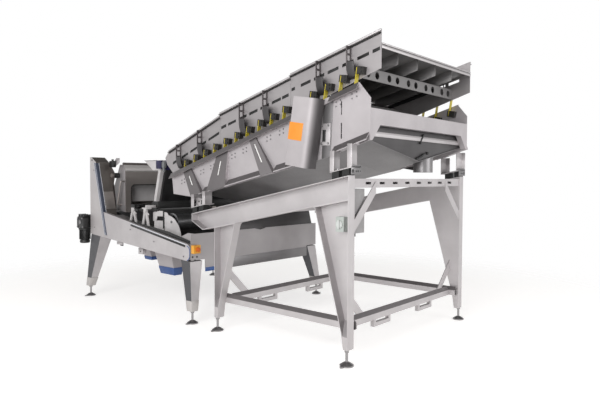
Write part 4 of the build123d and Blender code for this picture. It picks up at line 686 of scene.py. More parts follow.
base_top = rising(1960, 0.29)
spring_line = rising(2056, SPRING_RISE)
rail_top = rising(1318, 0.196)
beam_top = rising(699, -0.159, -1735)
beam_low = rising(549, -0.0785, -1735)
tower_edge = rising(-3143, -0.2697, 665)


def between(start, end, x):
    """The height at x on the line through two points."""
    (x0, z0), (x1, z1) = start, end
    return z0 + (z1 - z0) * (x - x0) / (x1 - x0)


def base_low(x):
    start, end = [pair for pair in zip(BASE_KNOTS, BASE_KNOTS[1:]) if x <= pair[1][0]][0]
    return between(start, end, x)


def wall_top(section, x):
    high, low = WALL_TOPS[section]
    return between(low, high, x)


def sloping(x0, x1, line, low, high, y, thick, soft=1.0):
    """A strip that follows a line of the drawing, from one height over it to another, thick to the near
    side."""
    outline = [(x0, line(x0) + low), (x1, line(x1) + low), (x1, line(x1) + high), (x0, line(x0) + high)]
    return side_plate(y, outline, -thick, soft)


print("base top at the high end", base_top(17))

# %% [markdown]
# The shaker base's top edge is folded out into a sloping lip that sheds juice. In the ribs' slits, where the
# bright background shows through, white plates stand as painted light. The lip's section is drawn once and
# extruded along the slope. Each white plate lies on the line from the middle of the rib's top to the middle
# of its foot.

# %% Base lips and painted light in the slits
lips = []
for x0, x1 in ((-2150, -520), (-236, 17)):
    z = base_top(x0)
    section = [(x0, -776, z + 4), (x0, -803, z - 44), (x0, -800, z - 46), (x0, -773, z + 1)]
    lips.append(plate(section, (x1 - x0, 0, base_top(x1) - z), 0))
paired(lips, "base_top_lips", blasted_base)

# Each rib's ends at its top and at its foot, and the length of its slit.
RIBS = ((-1955, -1845, -1816, -1670, 108), (-1490, -1340, -1600, -1356, 132), (-1075, -1000, -918, -788, 188))
slit_lights = []
for top_low, top_high, foot_low, foot_high, slit in RIBS:
    top = Vector(((top_low + top_high) / 2, 0, (base_top(top_low) + base_top(top_high)) / 2 - 42))
    foot = Vector(((foot_low + foot_high) / 2, 0, (base_low(foot_low) + base_low(foot_high)) / 2 + 2))
    axis = foot - top
    side = Vector((-axis.z, 0, axis.x)).normalized() * 6
    half = 0.47 * slit / axis.length
    upper, lower = [top + axis * share + Vector((0, -774 - 26 * share, 0))
                    for share in (0.4 - half, 0.4 + half)]
    slit_lights.append(plate([upper - side, upper + side, lower + side, lower - side], (0, 9, 0)))
paired(slit_lights, "rib_slit_painted_light", slit_painted_light)

# %% [markdown]
# The bolts that hold the lower spring clamps show on the outside of the base's plates, four for each clamp,
# where no rib or cover is in the way. The upper clamps have two black bolts each and move with the pan.

# %% Clamp bolts
OPEN_CLAMPS = (0, 1, 4, 5, 6, 8, 9, 11, 12, 14)
places = []
for i in OPEN_CLAMPS:
    x, z = -PITCH * i + CLAMP_X, spring_line(-PITCH * i) + CLAMP_Z
    places += [(x + dx, BASE_SIDE, z + dz + 0.3 * dx) for dx in (-20, 20) for dz in (-16, 14)]
paired([spread(bolt_head(4.5), places, TO_NEAR)], "clamp_bolts", turned_foot)

places = [(-PITCH * i + 14, -750, spring_line(-PITCH * i) + dz) for i in range(SPRINGS) for dz in (13, -13)]
paired([spread(bolt_head(5), places, TO_NEAR)], "upper_clamp_bolts", black_enamel, "pan")

# %% [markdown]
# The pan's walls end in a stiff rim: a bright bar along the top edge with a black strip under it, which is
# painted shadow of the rim. Under the decks run flat stringers that stop at the cross plates, so that the
# plates' holes stay free. The first deck's front edge is rolled twice.

# %% Pan rims, stringers and the rolled front edge
bars, bands, webs = [], [], []
for section, ((x1, _), (x0, _)) in enumerate(WALL_TOPS):
    line = partial(wall_top, section)
    bars.append(sloping(x0, x1, line, -13, 0, PAN_SIDE, 12, 2))
    bands.append(sloping(x0, x1, line, -31, -23, PAN_SIDE, 6, 0.5))
    setback = 30 if section < 2 else 140
    webs += [sloping(x0 + setback, x1 - 40, line, -187, -97, y, 6, 0.5) for y in (-140.8, -422.4)]
paired(bars, "pan_rim_bars", blasted_frame, "pan")
# The black strip under the rim is painted shadow.
paired(bands, "pan_rim_painted_shadow", rubber, "pan")
stringers = paired(webs, "pan_stringer_plates", ground_web, "pan")
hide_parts("pan_stringers")

rolls = [end_plate(155, rectangle(-703, low, 703, high), 7, 3) for low, high in ((2220, 2231), (2192, 2214))]
finished(rolls, "deck_front_rolls", blasted_frame, "pan")

# %% [markdown]
# At the feed end a sheet closes the drip pan behind the portal. It has a rounded bead across it, two
# rubber straps that hold the pan's drain plate, and a black knob.

# %% Drip pan end
DRIP_END = 50
# The sheet's dark colour is painted shade.
sheet = end_plate(DRIP_END, ((-755, 1582), (0, 1439), (755, 1582), (755, 1705), (-755, 1705)), -3, 0.5)
finished([sheet], "drip_pan_end", ground_shade)
bead = end_plate(DRIP_END, rectangle(-735, 1598, 735, 1636), 9, 8)
finished([bead], "drip_pan_bead", blasted_frame)
straps = [end_plate(DRIP_END + 2, outline, 12, 3) for outline in (
    ((72, 1662), (56, 1652), (22, 1612), (12, 1578), (26, 1574), (36, 1604), (78, 1650)),
    ((92, 1502), (80, 1508), (40, 1488), (-42, 1462), (-38, 1448), (48, 1474)))]
straps.append(round_bar((DRIP_END - 1, 137, 1508), (DRIP_END + 14, 137, 1508), 11))
finished(straps, "drip_pan_straps", rubber)

# %% [markdown]
# The drive's cover is one bent sheet: flat in front, widely rounded on the feed side. The CAD solid has the
# same box with a coarser bend, so the cover is drawn again with a smooth one, as a closed extrusion whose
# back is taken off and whose wall gets its thickness inwards. It carries a plain orange plate.

# %% Drive covers
LEAN = radians(9.5)
UP = Vector((sin(LEAN), 0, cos(LEAN)))
ACROSS = Vector((cos(LEAN), 0, -sin(LEAN)))
DRIVE = Vector((-410, 0, 1635))
COVER_LEFT, COVER_RIGHT = -127, 87
COVER_BACK, COVER_FACE = -775, -885
COVER_HEIGHT = 510
BEND = 64
section = [(COVER_LEFT, COVER_BACK), (COVER_LEFT, COVER_FACE + 6), (COVER_LEFT + 6, COVER_FACE)]
section += [(COVER_RIGHT - BEND + BEND * sin(a), COVER_FACE + BEND - BEND * cos(a))
            for a in [radians(9 * i) for i in range(11)]]
section += [(COVER_RIGHT, COVER_BACK)]
outline = [DRIVE + ACROSS * across + Vector((0, y, 0)) - UP * COVER_HEIGHT / 2 for across, y in section]
cover = hollowed(plate(outline, UP * COVER_HEIGHT, 0), lambda normal: normal.y > 0.9, 3, -1)
cover = paired([cover], "drive_cover_sheets", bent_cover)
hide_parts("drive_covers")

label = [DRIVE + ACROSS * across + UP * rise + Vector((0, COVER_FACE, 0))
         for across, rise in rectangle(COVER_LEFT, -63, 7, 66)]
label = finished([plate(label, (0, -2, 0), 0.6)], "blank_cover_plate", orange_film)
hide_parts("cover_plate")

# %% [markdown]
# Beside the cover, towards the feed end, the base's plate has a window. A small plate closes it, held by a
# slotted bracket with four bolts. The slot is drawn as a thin dark plate, which is painted shade, because
# nothing shows through it.

# %% Window beside the drive
shutter = side_plate(BASE_SIDE, ((-318, 1442), (-236, 1462), (-212, 1868), (-296, 1868)), -3)
paired([shutter], "drive_window_plates", ground_trough)
holder = side_plate(BASE_SIDE - 3, ((-322, 1540), (-236, 1540), (-230, 1700), (-316, 1700)), -7, 2)
paired([holder], "drive_window_brackets", blasted_frame)
slot = side_plate(BASE_SIDE - 10, ((-306, 1568), (-276, 1568), (-272, 1654), (-302, 1654)), -2, 0.5)
paired([slot], "drive_window_slot_painted_shade", black_abs)
places = [(x, BASE_SIDE - 10, z) for x, z in ((-306, 1685), (-250, 1685), (-312, 1555), (-252, 1555))]
paired([spread(bolt_head(6), places, TO_NEAR)], "drive_window_bolts", turned_foot)

# %% [markdown]
# The sorter's sheets have coloured edges: a blue-grey angle strip along each tower's slanted edge with a
# painted highlight on either side, a black plate of painted shade for the slot along each beam with a painted
# highlight over it, and a dark blue seal round the beam's end. A black guide stands on the beam beside the
# belt.

# %% Edge strips and painted highlights
STRIP_LOW, STRIP_HIGH = 690, 1458


def edge_strip(section):
    """A strip up the tower's slanted edge, from a section that is measured from that edge."""
    start = tower_edge(STRIP_LOW)
    push = (tower_edge(STRIP_HIGH) - start, 0, STRIP_HIGH - STRIP_LOW)
    return plate([(start + dx, y, STRIP_LOW) for dx, y in section], push, 0.5)


angle = edge_strip(((-34, -873), (-34, -877), (4, -877), (4, -845), (0, -845), (0, -873)))
angles = paired([angle], "tower_edge_strips", blue_anodised)
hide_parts("edge_trims")
lines = [edge_strip(section) for section in (
    ((-42, -873), (-42, -877.5), (-34, -877.5), (-34, -873)),
    ((0, -845), (4.5, -845), (4.5, -838), (0, -838)),
    ((-17, -877), (-17, -878), (-12, -878), (-12, -877)))]
lines.append(sloping(-2695, -1800, beam_top, -13, -3, BEAM_SIDE, 3))
paired(lines, "painted_highlight_edge_lines", painted_highlight)

# %% Beam slots, end seals and belt guides
# The slot is a thin black plate: painted shade where the recess is dark.
slot = sloping(-2690, -1805, beam_top, -36, -15, BEAM_SIDE, 2)
paired([slot], "beam_slot_painted_shade", black_abs)
turns = [radians(a) for a in range(81, -90, -9)]
rim = [(-1787 + r * cos(a), (643 if a > 0 else 605) + r * sin(a))
       for r, order in ((51, 1), (43, -1)) for a in turns[::order]]
paired([side_plate(BEAM_SIDE, rim, -2, 0.5)], "beam_end_seals", blue_pvc)
guide = [(-2745, beam_top(-2745) - 2), (-2745, 864), (-2117, 797), (-1738, 722), (-1738, beam_top(-1738) - 2)]
paired([side_plate(-834, guide, -8, 2)], "belt_guides", black_abs)

# %% [markdown]
# Blue lips hang under the outlets, where juice and stones leave, and a blue strip closes the infeed's foot.
# Each lip is a sleeve round the outlet's end: a tapered block without top and bottom, whose wall grows
# outwards. The sorter's legs end in sleeves of the same kind, just over the feet, painted bright as painted
# light.

# %% Blue lips and leg ends
STUB = 10


def sleeve(low, high, thick):
    """A tapered sleeve between two rings of four points: a low block is drawn on the first ring, and its
    upper corners are moved to the second."""
    piece = plate(low, (0, 0, STUB), 0)
    for corner in piece.data.vertices:
        for start, end in zip(low, high):
            if (corner.co - at(*start) - Vector((0, 0, STUB / 1000))).length < 1e-5:
                corner.co = at(*end)
    outward(piece)
    return softened(hollowed(piece, lambda normal: abs(normal.z) > 0.9, thick, 1), 1)


def mouth(x, y, z, half_x, half_y):
    """Four points round a middle."""
    return [(px, py, z) for px, py in rectangle(x - half_x, y - half_y, x + half_x, y + half_y)]


lips = [sleeve(mouth(-2785, -560, 440, 61, 41), mouth(-2785, -560, 476, 66, 51), 4),
        sleeve(mouth(-2452, -560, 322, 115, 41), mouth(-2452, -560, 400, 125, 60), 4),
        side_plate(-712, rectangle(END_WALL - 1, 446, END_WALL + 7, 482), 290, 2)]
finished(lips, "blue_lips", blue_pvc)

LEG_FOOT, SLEEVE_TOP, FOOT_HALF = 112, 205, 33
ends = []
for foot_x, top_x, top_half in ((-1708, -1808, 68), (-3498, -3354, 105)):
    share = (SLEEVE_TOP - LEG_FOOT) / (beam_low(top_x) + 60 - LEG_FOOT)
    middle, half = foot_x + share * (top_x - foot_x), FOOT_HALF + share * (top_half - FOOT_HALF)
    low = mouth(foot_x, -870, LEG_FOOT + 1, FOOT_HALF + 0.5, FOOT_HALF + 0.5)
    high = mouth(middle, -870 + share * 72, SLEEVE_TOP, half + 0.5, FOOT_HALF + 0.5 + share * 42)
    ends.append(sleeve(low, high, 3))
paired(ends, "leg_end_sleeves", bright_sheet)

# %% [markdown]
# The sorter's end wall under the shaker has a rim across its foot, a sheet that leans back over it, painted
# dark as painted shade, and three holes beside the leg. The holes are dark discs of painted shade, since the
# wall's inside is not seen.

# %% Infeed end wall
rim = end_plate(END_WALL + 0.5, rectangle(-415, 448, 715, 545), 3)
finished([rim], "end_wall_rim", ground_trough)
back = ((END_WALL - 12, 770), (END_WALL - 9, 770), (END_WALL - 59, 955), (END_WALL - 62, 955))
finished([side_plate(-250, back, 1070, 0.5)], "infeed_back_sheet", ground_shade)
holes = [round_bar((END_WALL - 2, y, z), (END_WALL + 2, y, z), r, 16, 0.5)
         for y, z, r in ((-854, 592, 9), (-806, 590, 9), (-828, 564, 6))]
finished(holes, "end_wall_holes", black_abs)

# %% [markdown]
# The slots in the pan's walls let juice out into side channels, and dark liners stand behind all but the
# first two as painted shade in the slots. Each section of the wall also has a short slot near either end,
# drawn as a dark strip of painted shade on the wall's face.

# %% Shade liners and painted end slots
SLOT_DROPS = (128, 137, 148)
shade_liners = []
for section, (x0, x1) in enumerate(((-676, -190), (-1515, -678), (-2230, -1517))):
    drop = SLOT_DROPS[section]
    shade_liners.append(sloping(x0, x1, partial(wall_top, section), -drop - 18, -drop + 18, -700, 4, 0.5))
paired(shade_liners, "pan_slot_shade_liners", rubber, "pan")

END_SLOTS = ((0, 144, 84), (0, -634, -668), (1, -700, -768), (1, -1436, -1500), (2, -1530, -1592),
             (2, -2148, -2206))
slots = []
for section, x0, x1 in END_SLOTS:
    drop = SLOT_DROPS[section]
    slots.append(sloping(x0, x1, partial(wall_top, section), -drop - 12, -drop + 12, PAN_SIDE, 2, 0.3))
paired(slots, "pan_end_slot_painted_shade", rubber, "pan")

# %% [markdown]
# The fins outside the walls stand upright in the photograph, with two windows each and a curved skid below.
# The CAD fins lean, so they are drawn again here: a plate with the arc in its outline, cut by two
# Booleans, and a strip along the arc for the skid.

# %% Windowed fins and skids
# The wall section that a fin stands on, and its place in spring pitches.
FINS = ((0, 0.70), (0, 2.70), (1, 6.70), (1, 8.70), (2, 12.70), (2, 14.95))
FIN_OUT = 58
fins, skids = [], []
for section, bay in FINS:
    foot = Vector((-PITCH * bay, PAN_SIDE, spring_line(-PITCH * bay))) - UP * 20
    tall = wall_top(section, foot.x) - 22 - foot.z
    arc = [(FIN_OUT * cos(a), 0.5 * tall - 0.5 * tall * sin(a)) for a in [radians(15 * i) for i in range(7)]]
    web = [(0, tall), (FIN_OUT, tall), *arc]
    fin = plate([foot + Vector((-3, -out, rise)) for out, rise in web], (6, 0, 0), 0)
    for low, high in ((0.56, 0.72), (0.78, 0.94)):
        window = [foot + Vector((-20, -out, tall * rise)) for out, rise in rectangle(13, low, 45, high)]
        fin = cut_out(fin, plate(window, (40, 0, 0), 0))
    fins.append(softened(fin, 0.8, 1))
    skid = arc + [(out - 4, rise + 3) for out, rise in arc[-2::-1]]
    skids.append(plate([foot + Vector((3, -out, rise)) for out, rise in skid], (62, 0, 0), 0.5))
# The fins' and skids' dark steel is painted shade.
fins = paired(fins, "windowed_fins", ground_fin, "pan")
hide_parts("pan_brackets")
paired(skids, "fin_skids", ground_shade, "pan")

# %% [markdown]
# The leaf springs really bend: their feet stay with the base and their heads go with the pan. The CAD strips
# are stiff, so one is drawn again in steps along its length and copied along the row of clamps.

# %% Leaf springs drawn in steps
SPRING_LENGTH = 195
FIRST_STEP, STEPS = 25, (24, 24, 24, 24, 24, 24, 46)
head = Vector((-22 * ACROSS.x, 0, spring_line(0) - 22 * ACROSS.z))
foot = head - UP * SPRING_LENGTH
section = [foot + ACROSS * dx + Vector((0, y, 0)) for dx, y in rectangle(-3, -714.5, 3, -750.5)]
spring = pick_faces(plate(section, UP * FIRST_STEP, 0), lambda normal: normal.dot(UP) > 0.9)
for step in STEPS:
    bpy.ops.mesh.extrude_region_move(TRANSFORM_OT_translate={"value": UP * step / 1000})
bpy.ops.object.mode_set(mode="OBJECT")
softened(spring, 1, 1)
places = [moved(-PITCH * i, 0, SPRING_RISE * -PITCH * i) for i in range(SPRINGS)]
row = dressed([both_sides(spread(spring, places, TO_TOP))], "bending_leaf_springs", fibreglass)

clamp = Vector((CLAMP_X, 0, spring_line(0) + CLAMP_Z))
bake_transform(row)
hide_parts("leaf_springs")
print(row.name, "bends between the base and the pan")

# %% [markdown]
# The shaker base stands on two folded posts at each corner, with the rubber blocks between their feet. The
# CAD bracket is one closed box, so the posts are drawn here as angles on a foot plate. Nuts sit on the
# rubber's studs.

# %% Corner posts
POST_ANGLE = ((-19, -776), (-19, -884), (19, -884), (19, -877), (-12, -877), (-12, -776))
posts, plates, studs = [], [], []
for middle in (-55, -1610):
    for side in (-1, 1):
        x = middle + side * 75
        low, high = rail_top(x) + 56, base_low(x)
        posts.append(plate([(x + dx, y, low) for dx, y in POST_ANGLE], (0, 0, high - low), 1.5))
        stud_x = middle + side * 45
        studs.append((stud_x, -853, rail_top(stud_x) + 58))
    plates.append(sloping(middle - 94, middle + 94, rail_top, 50, 58, -776, 108))
supports = paired(posts + plates, "corner_posts", blasted_frame)
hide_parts("isolator_brackets")
paired([spread(bolt_head(11), studs, TO_TOP)], "isolator_nuts", turned_foot)

# %% [markdown]
# A small pierced plate stands beside the high posts, and a pierced gusset lies on the rail's low end. The
# holes are thin dark discs and plates of painted shade on the sheet, because they are too small to look into.

# %% Pierced plates at the corners
pierced = end_plate(34, ((-884, 1328), (-762, 1328), (-762, 1394), (-872, 1394), (-884, 1382)), 5)
paired([pierced], "post_side_plates", ground_trough)
POST_HOLES = ((-866, 1352, 13), (-828, 1350, 7), (-806, 1350, 7), (-780, 1352, 4), (-868, 1380, 4),
              (-780, 1384, 4))
holes = [round_bar((38, y, z), (40, y, z), r, 16, 0.3) for y, z, r in POST_HOLES]
paired(holes, "post_plate_holes", black_abs)

gusset = side_plate(-850, ((-1742, 1060), (-1560, 1064), (-1560, 1112), (-1640, 1128), (-1742, 1098)), -6)
paired([gusset], "low_corner_gussets", blasted_frame)
holes = [side_plate(-856, ((-1700, 1074), (-1662, 1074), (-1668, 1108)), -2, 0.3),
         round_bar((-1626, -855, 1094), (-1626, -858, 1094), 9, 16, 0.3),
         side_plate(-856, rectangle(-1600, 1070, -1586, 1108), -2, 0.3)]
paired(holes, "low_gusset_holes", black_abs)

# %% [markdown]
# The belt's gear motor is a black casting. On the real one the gearbox has cooling ribs on top and a bolted
# cover, and the motor below has ribs along its length and a fan cowl. One rib is modelled and repeated
# round the motor. The bore for the roller's shaft is cut with a Boolean.

# %% Gear motor
# The drive roller's axis is at GX and GZ, the motor's upright axis at GX and GY.
GX, GY, GZ = -3590, -885, 810
GEAR_BACK, GEAR_FACE = -830, -940
CASE = ((-75, -60), (-60, -70), (60, -70), (75, -60), (75, 45), (55, 60), (-55, 60), (-75, 45))
TEETH = ((-66, 46), (-58, 88), (-42, 88), (-36, 56), (-14, 56), (-8, 86), (8, 86), (14, 56), (36, 56),
         (42, 84), (58, 84), (66, 46))
box = side_plate(GEAR_BACK, [(GX + dx, GZ + dz) for dx, dz in CASE], GEAR_FACE - GEAR_BACK, 5)
box = cut_out(box, round_bar((GX, GEAR_BACK + 10, GZ), (GX, GEAR_FACE + 5, GZ), 15.6, 32, 0))
parts = [box,
         block((GX - 112, -920, GZ - 8), (GX - 70, -870, GZ + 22), 4),
         block((GX - 104, -912, GZ + 18), (GX - 84, -880, GZ + 44), 4),
         block((GX, -842, GZ - 63), (-3485, GEAR_BACK, GZ - 17), 2)]
parts += [side_plate(y, [(GX + dx, GZ + dz) for dx, dz in TEETH], -7, 0.8) for y in range(-848, -921, -18)]
parts += [round_bar((GX, GY, GZ - 68), (GX, GY, GZ - 84), 66),
          round_bar((GX, GY, GZ - 84), (GX, GY, GZ - 196), 46),
          round_bar((GX, GY, GZ - 196), (GX, GY, GZ - 232), 54, 32, 10)]
root = Vector((GX, GY, GZ - 192))
for i in range(16):
    out = Vector((cos(i * pi / 8), sin(i * pi / 8), 0))
    side = Vector((-out.y, out.x, 0)) * 2.5
    rib = [root + out * 40 - side, root + out * 60 - side, root + out * 60 + side, root + out * 40 + side]
    parts.append(plate(rib, (0, 0, 106), 0.8))
parts.append(block((GX - 74, GY - 30, GZ - 150), (GX - 44, GY + 30, GZ - 92), 4))
motor = finished([outward(joined(parts))], "gear_motor_casting", black_abs)
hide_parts("gear_motor")

hub = [round_bar((GX, GEAR_FACE, GZ), (GX, GEAR_FACE - 5, GZ), 22, 32, 2),
       round_bar((GX, GEAR_FACE - 5, GZ), (GX, GEAR_FACE - 9, GZ), 13, 24, 1)]
places = [(GX + dx, GEAR_FACE, GZ + dz) for dx, dz in ((-58, -52), (58, -52), (-50, 42), (50, 42))]
hub.append(spread(bolt_head(6), places, TO_NEAR))
finished(hub, "gear_motor_cap", turned_foot)

# %% [markdown]
# The hood's edges are what the eye finds: a tube along its top, painted dark as painted shade, a bent band
# below it, painted bright as painted light, side sheets over the hood's sides, painted paler as painted light,
# a black seal round the mouth and a curved guide sheet inside. The pivots run in black sleeves. All of them
# swing with the hood.

# %% Hood details
HOOD_SIDE = -640
HOOD_WIDTH = -2 * HOOD_SIDE
HOOD_FRONT = -3159.7
tube = round_bar((-3205, HOOD_SIDE, 1452), (-3205, -HOOD_SIDE, 1452), 14)
finished([tube], "hood_top_tube", ground_dark, "hood")
band = [(HOOD_FRONT + dx, z) for dx, z in ((1, 1370), (3, 1382), (-8, 1412), (-22, 1441), (-100, 1443),
                                           (-100, 1440), (-25, 1439), (-12, 1410), (0, 1378))]
finished([side_plate(HOOD_SIDE, band, HOOD_WIDTH, 0)], "hood_top_band", bright_sheet, "hood")
cheek = [(HOOD_FRONT + dx, z) for dx, z in ((-2, 925), (-2, 1376), (-26, 1437), (-109, 1437), (-246, 1160),
                                            (-174, 948))]
paired([side_plate(HOOD_SIDE, cheek, -2.5)], "hood_side_painted_light_sheets", pale_sheet, "hood")

# %% Hood mouth, guide and pivots
def arch(radius):
    """The mouth's top edge from side to side, with a quarter round in either corner."""
    quarter = [radians(a) for a in range(0, 91, 15)]
    return [(s * (525 + radius * cos(a)), 1180 + radius * sin(a))
            for s, turns in ((1, quarter), (-1, quarter[::-1])) for a in turns]


seal = [(573, 930), *arch(48), (-573, 930), (-563, 930), *arch(38)[::-1], (563, 930)]
finished([end_plate(HOOD_FRONT, seal, 4, 0.5)], "hood_mouth_seal", rubber, "hood")
guide = [(-3172, 1219), (-3205, 1204), (-3236, 1176), (-3258, 1138), (-3270, 1090), (-3274, 1035)]
guide += [(x - 3, z - 1) for x, z in guide[::-1]]
finished([side_plate(-562, guide, 1124, 0)], "hood_guide_sheet", white_powder, "hood")
pivot = round_bar((-3288.7, -713, 1324), (-3288.7, -643, 1324), 29, 32, 3)
paired([pivot], "hood_pivot_sleeves", black_abs, "hood")

# %% [markdown]
# A black safety switch sits on a bracket of the tower beside the hood, and guards close the gap between
# the towers and the belt's head; their dark colour is painted shade. They stay with the frame when the hood
# swings up.

# %% Hood switch and head guards
arm = ((-3395, 1412), (-3250, 1416), (-3150, 1462), (-3150, 1512), (-3215, 1512), (-3262, 1470), (-3395, 1460))
finished([side_plate(-712, arm, -4)], "hood_switch_arm", blasted_frame)
switch = [block((-3300, -752, 1412), (-3215, -716, 1482), 5),
          round_bar((-3257, -734, 1482), (-3257, -734, 1500), 12)]
finished(switch, "hood_switch", black_abs)
guard = ((-3440, 945), (-3238, 945), (-3262, 1120), (-3290, 1250), (-3305, 1284), (-3440, 1284))
paired([side_plate(-700, guard, -3)], "head_guards", ground_dark)

# %% [markdown]
# The scanner's bridge is a short black beam with steel flats out to the trestles. A dark blue end cap closes
# the scanner's top beside the post, with a grey fitting behind it, and a thin edge runs along the top.

# %% Scanner bridge
bridge = block((-2667, -640, 986), (-2557, 640, 1060), 4)
bridge = finished([bridge], "scanner_bridge", black_enamel)
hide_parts("gantry_beam")
flats = [block((-2650, -770, 985), (-2574, -638, 999), 2), block((-2606, -760, 999), (-2594, -640, 1024), 2)]
paired(flats, "bridge_end_flats", white_powder)
cap = side_plate(-641, ((-2560, 1392), (-2476, 1392), (-2470, 1476), (-2560, 1476)), -20, 3)
paired([cap], "scanner_end_caps", navy_abs)
fitting = [block((-2474, -655, 1398), (-2430, -625, 1462), 5),
           round_bar((-2452, -640, 1398), (-2452, -640, 1360), 13)]
paired(fitting, "scanner_end_fittings", grey_enamel)
edge = side_plate(-646, ((-2778, 1474), (-2560, 1474), (-2560, 1479), (-2782, 1479)), -4, 0.5)
paired([edge], "wing_top_edges", ground_dark)

# %% [markdown]
# Valves stand in a row on the air manifold. One is modelled and copied. Black blocks carry the air to the
# row, white clips hold the manifold to the trestles, and white brackets hold the plates beside the belt.

# %% Air valves, clips and brackets
VALVES, VALVE_PITCH = 24, 64
valve = joined([block((-2781, -752, 990), (-2757, -722, 1018), 3),
                block((-2775, -747, 1018), (-2761, -727, 1026), 2),
                round_bar((-2757, -737, 1004), (-2742, -737, 1004), 7, 16, 1)])
valves = spread(valve, [moved(0, VALVE_PITCH * i, 0) for i in range(VALVES)], TO_TOP)
finished([valves], "air_valves", black_abs)
blocks = [block((-2770, -776, 958), (-2716, -740, 984), 3),
          block((-2716, -768, 966), (-2640, -752, 980), 2),
          block((-2556, -720, 962), (-2470, -690, 1000), 4),
          round_bar((-2470, -705, 980), (-2440, -705, 980), 12),
          block((-2368, -716, 800), (-2356, -704, 976), 2)]
paired(blocks, "air_blocks", black_enamel)
clips = [block((x - 26, -776, 940), (x + 26, -769, 992), 2) for x in (-2813, -2590)]
clips += [side_plate(-776, ((x0, 968), (x1, 940), (x1, 926), (x0, 952)), 6)
          for x0, x1 in ((-2800, -2742), (-2577, -2520))]
paired(clips, "trestle_clips", white_powder)
brackets = [side_plate(-704, outline, -4) for outline in (
    ((-2545, 868), (-2545, 950), (-2505, 972), (-2376, 972), (-2376, 920), (-2470, 916), (-2490, 868)),
    ((-2355, 905), (-2355, 962), (-2312, 960), (-2284, 930)))]
paired(brackets, "skirt_brackets", white_powder)

# %% [markdown]
# On the sorter's outside are the small things that give it its scale: a sheet inside each tower's slanted
# edge, studs behind the towers, a hole at each tower's top, and screws along the beam.

# %% Towers and beams
inner = [(tower_edge(z) + dx, z) for z, dx in ((965, 0.5), (965, 3), (1150, 3), (1150, 0.5))]
paired([side_plate(-869, inner, 146, 0.5)], "tower_inner_sheets", ground_hood)
places = [(-3485, -858, z) for z in (1385, 1358, 908, 884)]
paired([spread(bolt_head(8), places, TO_BACK)], "tower_studs", turned_foot)
# The hole is a dark disc of painted shade.
hole = round_bar((-3440, BEAM_SIDE + 1, 1490), (-3440, BEAM_SIDE - 1, 1490), 11, 24, 0.3)
paired([hole], "tower_top_holes", black_abs)
places = [(x, BEAM_SIDE, z)
          for x, z in ((-2700, 780), (-2290, 690), (-1830, 590), (-3400, 760), (-3400, 1380))]
paired([spread(bolt_head(5), places, TO_NEAR)], "beam_screws", turned_foot)

# %% [markdown]
# Last come the brackets under the tray on the near side, with a dark eye and a dark foot of painted shade,
# and the hinges, glands and lid screws of the control box inside the stand's leg.

# %% Tray hangers and control box fittings
hangers = [block((-2990, -852, 606), (-2880, -838, 636), 3), block((-2640, -820, 534), (-2560, -780, 596), 3)]
finished(hangers, "tray_hangers", blasted_frame)
eyes = [round_bar((-2600, -819, 562), (-2600, -822, 562), 8, 20, 0.3),
        block((-2930, -848, 596), (-2880, -840, 606), 1)]
finished(eyes, "tray_hanger_holes", black_abs)
hinges = [round_bar((-194, -664, z), (-194, -664, z + 46), 7) for z in (950, 1150)]
glands = [round_bar((x, -740, 915), (x, -740, 889), 12, 6, 1) for x in (-160, -120, -80, -40)]
finished(hinges + glands, "control_box_fittings", black_abs)
places = [(x, -664.5, z) for x in (-178, -16) for z in (927, 1216)]
finished([spread(bolt_head(5), places, TO_FAR)], "control_box_screws", turned_foot)

# %% [markdown]
# The studio is a pale floor and a white surround under a dark ceiling. The world is plain white round the
# horizon where the camera, a reflection or a look through glass meets it, and it darkens overhead, which
# together with the painted shade on sloping steel makes sloping steel so much darker than upright steel.
# Where it only lights, it is a dim grey.

# %% World
WORLD_LIGHT = 0.42


def seen_directly(tree):
    """1 for the camera, a reflection or a look through glass, and 0 for light that only falls."""
    path = add_node(tree, "ShaderNodeLightPath")
    seen = path.outputs["Is Camera Ray"]
    for ray in ("Is Glossy Ray", "Is Transmission Ray"):
        seen = add_node(tree, "ShaderNodeMath", {0: seen, 1: path.outputs[ray]}, operation="MAXIMUM").outputs[0]
    return seen


world = bpy.data.worlds.new("white_studio")
bpy.context.scene.world = world
world.use_nodes = True
tree = world.node_tree
tree.nodes.clear()
dim = add_node(tree, "ShaderNodeBackground", {"Color": linear("#f4f2f0"), "Strength": WORLD_LIGHT})
place = add_node(tree, "ShaderNodeTexCoord")
height = add_node(tree, "ShaderNodeSeparateXYZ", {0: place.outputs["Generated"]})
ceiling = add_node(tree, "ShaderNodeMapRange",
                   {"Value": height.outputs["Z"], "From Min": 0.34, "From Max": 0.62,
                    "To Min": 1.0, "To Max": 0.1}, interpolation_type="SMOOTHSTEP")
white = add_node(tree, "ShaderNodeBackground", {"Color": (1, 1, 1, 1), "Strength": ceiling.outputs[0]})
both = add_node(tree, "ShaderNodeMixShader", {0: seen_directly(tree), 1: dim.outputs[0], 2: white.outputs[0]})
add_node(tree, "ShaderNodeOutputWorld", {"Surface": both.outputs[0]})
bpy.context.scene.view_settings.view_transform = "Standard"
print("world nodes", len(tree.nodes))

# %% [markdown]
# The floor is a large sheet of pale paper. It keeps the machine's shadow, because it is a real matt
# surface, and a little glow that only the camera and reflections see lifts it to white. Towards its
# edge it turns clear, so no horizon line shows.

# %% Floor
FLOOR_RADIUS, FLOOR_DROP = 9.0, 0.0005
FLOOR_GLOW = 0.58
FADE_STARTS, FADE_ENDS = 2.6, 5.0
bpy.ops.object.select_all(action="DESELECT")
bpy.ops.mesh.primitive_circle_add(vertices=96, radius=FLOOR_RADIUS, fill_type="NGON",
                                  location=(0, 0, -FLOOR_DROP))
floor = apply_place(bpy.context.object)
floor.name = "studio_floor"

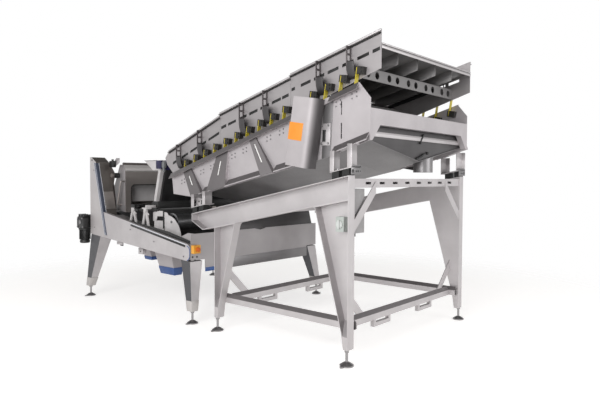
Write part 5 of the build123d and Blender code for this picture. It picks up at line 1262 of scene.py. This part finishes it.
paper = bpy.data.materials.new("studio_paper")
paper.use_nodes = True
tree = paper.node_tree
tree.nodes.clear()
glow = add_node(tree, "ShaderNodeMath", {0: seen_directly(tree), 1: FLOOR_GLOW}, operation="MULTIPLY")
matt = add_node(tree, "ShaderNodeBsdfDiffuse", {"Color": linear("#dcdad8")})
lift = add_node(tree, "ShaderNodeEmission", {"Color": (1, 1, 1, 1), "Strength": glow.outputs[0]})
lit = add_node(tree, "ShaderNodeAddShader", {0: matt.outputs[0], 1: lift.outputs[0]})
place = add_node(tree, "ShaderNodeTexCoord")
reach = add_node(tree, "ShaderNodeVectorMath", {0: place.outputs["Object"]}, operation="LENGTH")
fade = add_node(tree, "ShaderNodeMapRange",
                {"Value": reach.outputs["Value"], "From Min": FADE_STARTS, "From Max": FADE_ENDS},
                interpolation_type="SMOOTHSTEP")
clear = add_node(tree, "ShaderNodeBsdfTransparent")
mixed = add_node(tree, "ShaderNodeMixShader", {0: fade.outputs[0], 1: lit.outputs[0], 2: clear.outputs[0]})
add_node(tree, "ShaderNodeOutputMaterial", {"Surface": mixed.outputs[0]})
floor.data.materials.append(paper)
print("floor", floor.dimensions[:])

# %% [markdown]
# Two soft boxes light the machine, as in a product studio: a large one on the operator's side, low enough
# that upright sheets are brighter than level ones, and a weaker one beyond the feed end.

# %% Lamps
# Each lamp's name, its place and aim in metres, its side and its power.
LAMPS = (
    ("side_softbox", (2.6, -7.2, 3.0), (0.0, 0, 1.0), 5.0, 430.0),
    ("end_softbox", (7.6, 0.8, 2.6), (0.4, 0, 1.0), 4.0, 190.0),
)
for name, place, aim, size, watts in LAMPS:
    lamp = bpy.data.lights.new(name, "AREA")
    lamp.shape = "SQUARE"
    lamp.size = size
    lamp.energy = watts
    holder = bpy.data.objects.new(name, lamp)
    look = (Vector(aim) - Vector(place)).to_track_quat("-Z", "Y")
    holder.matrix_world = Matrix.Translation(place) @ look.to_matrix().to_4x4()
    bpy.context.scene.collection.objects.link(holder)
    print(name, watts, "W")
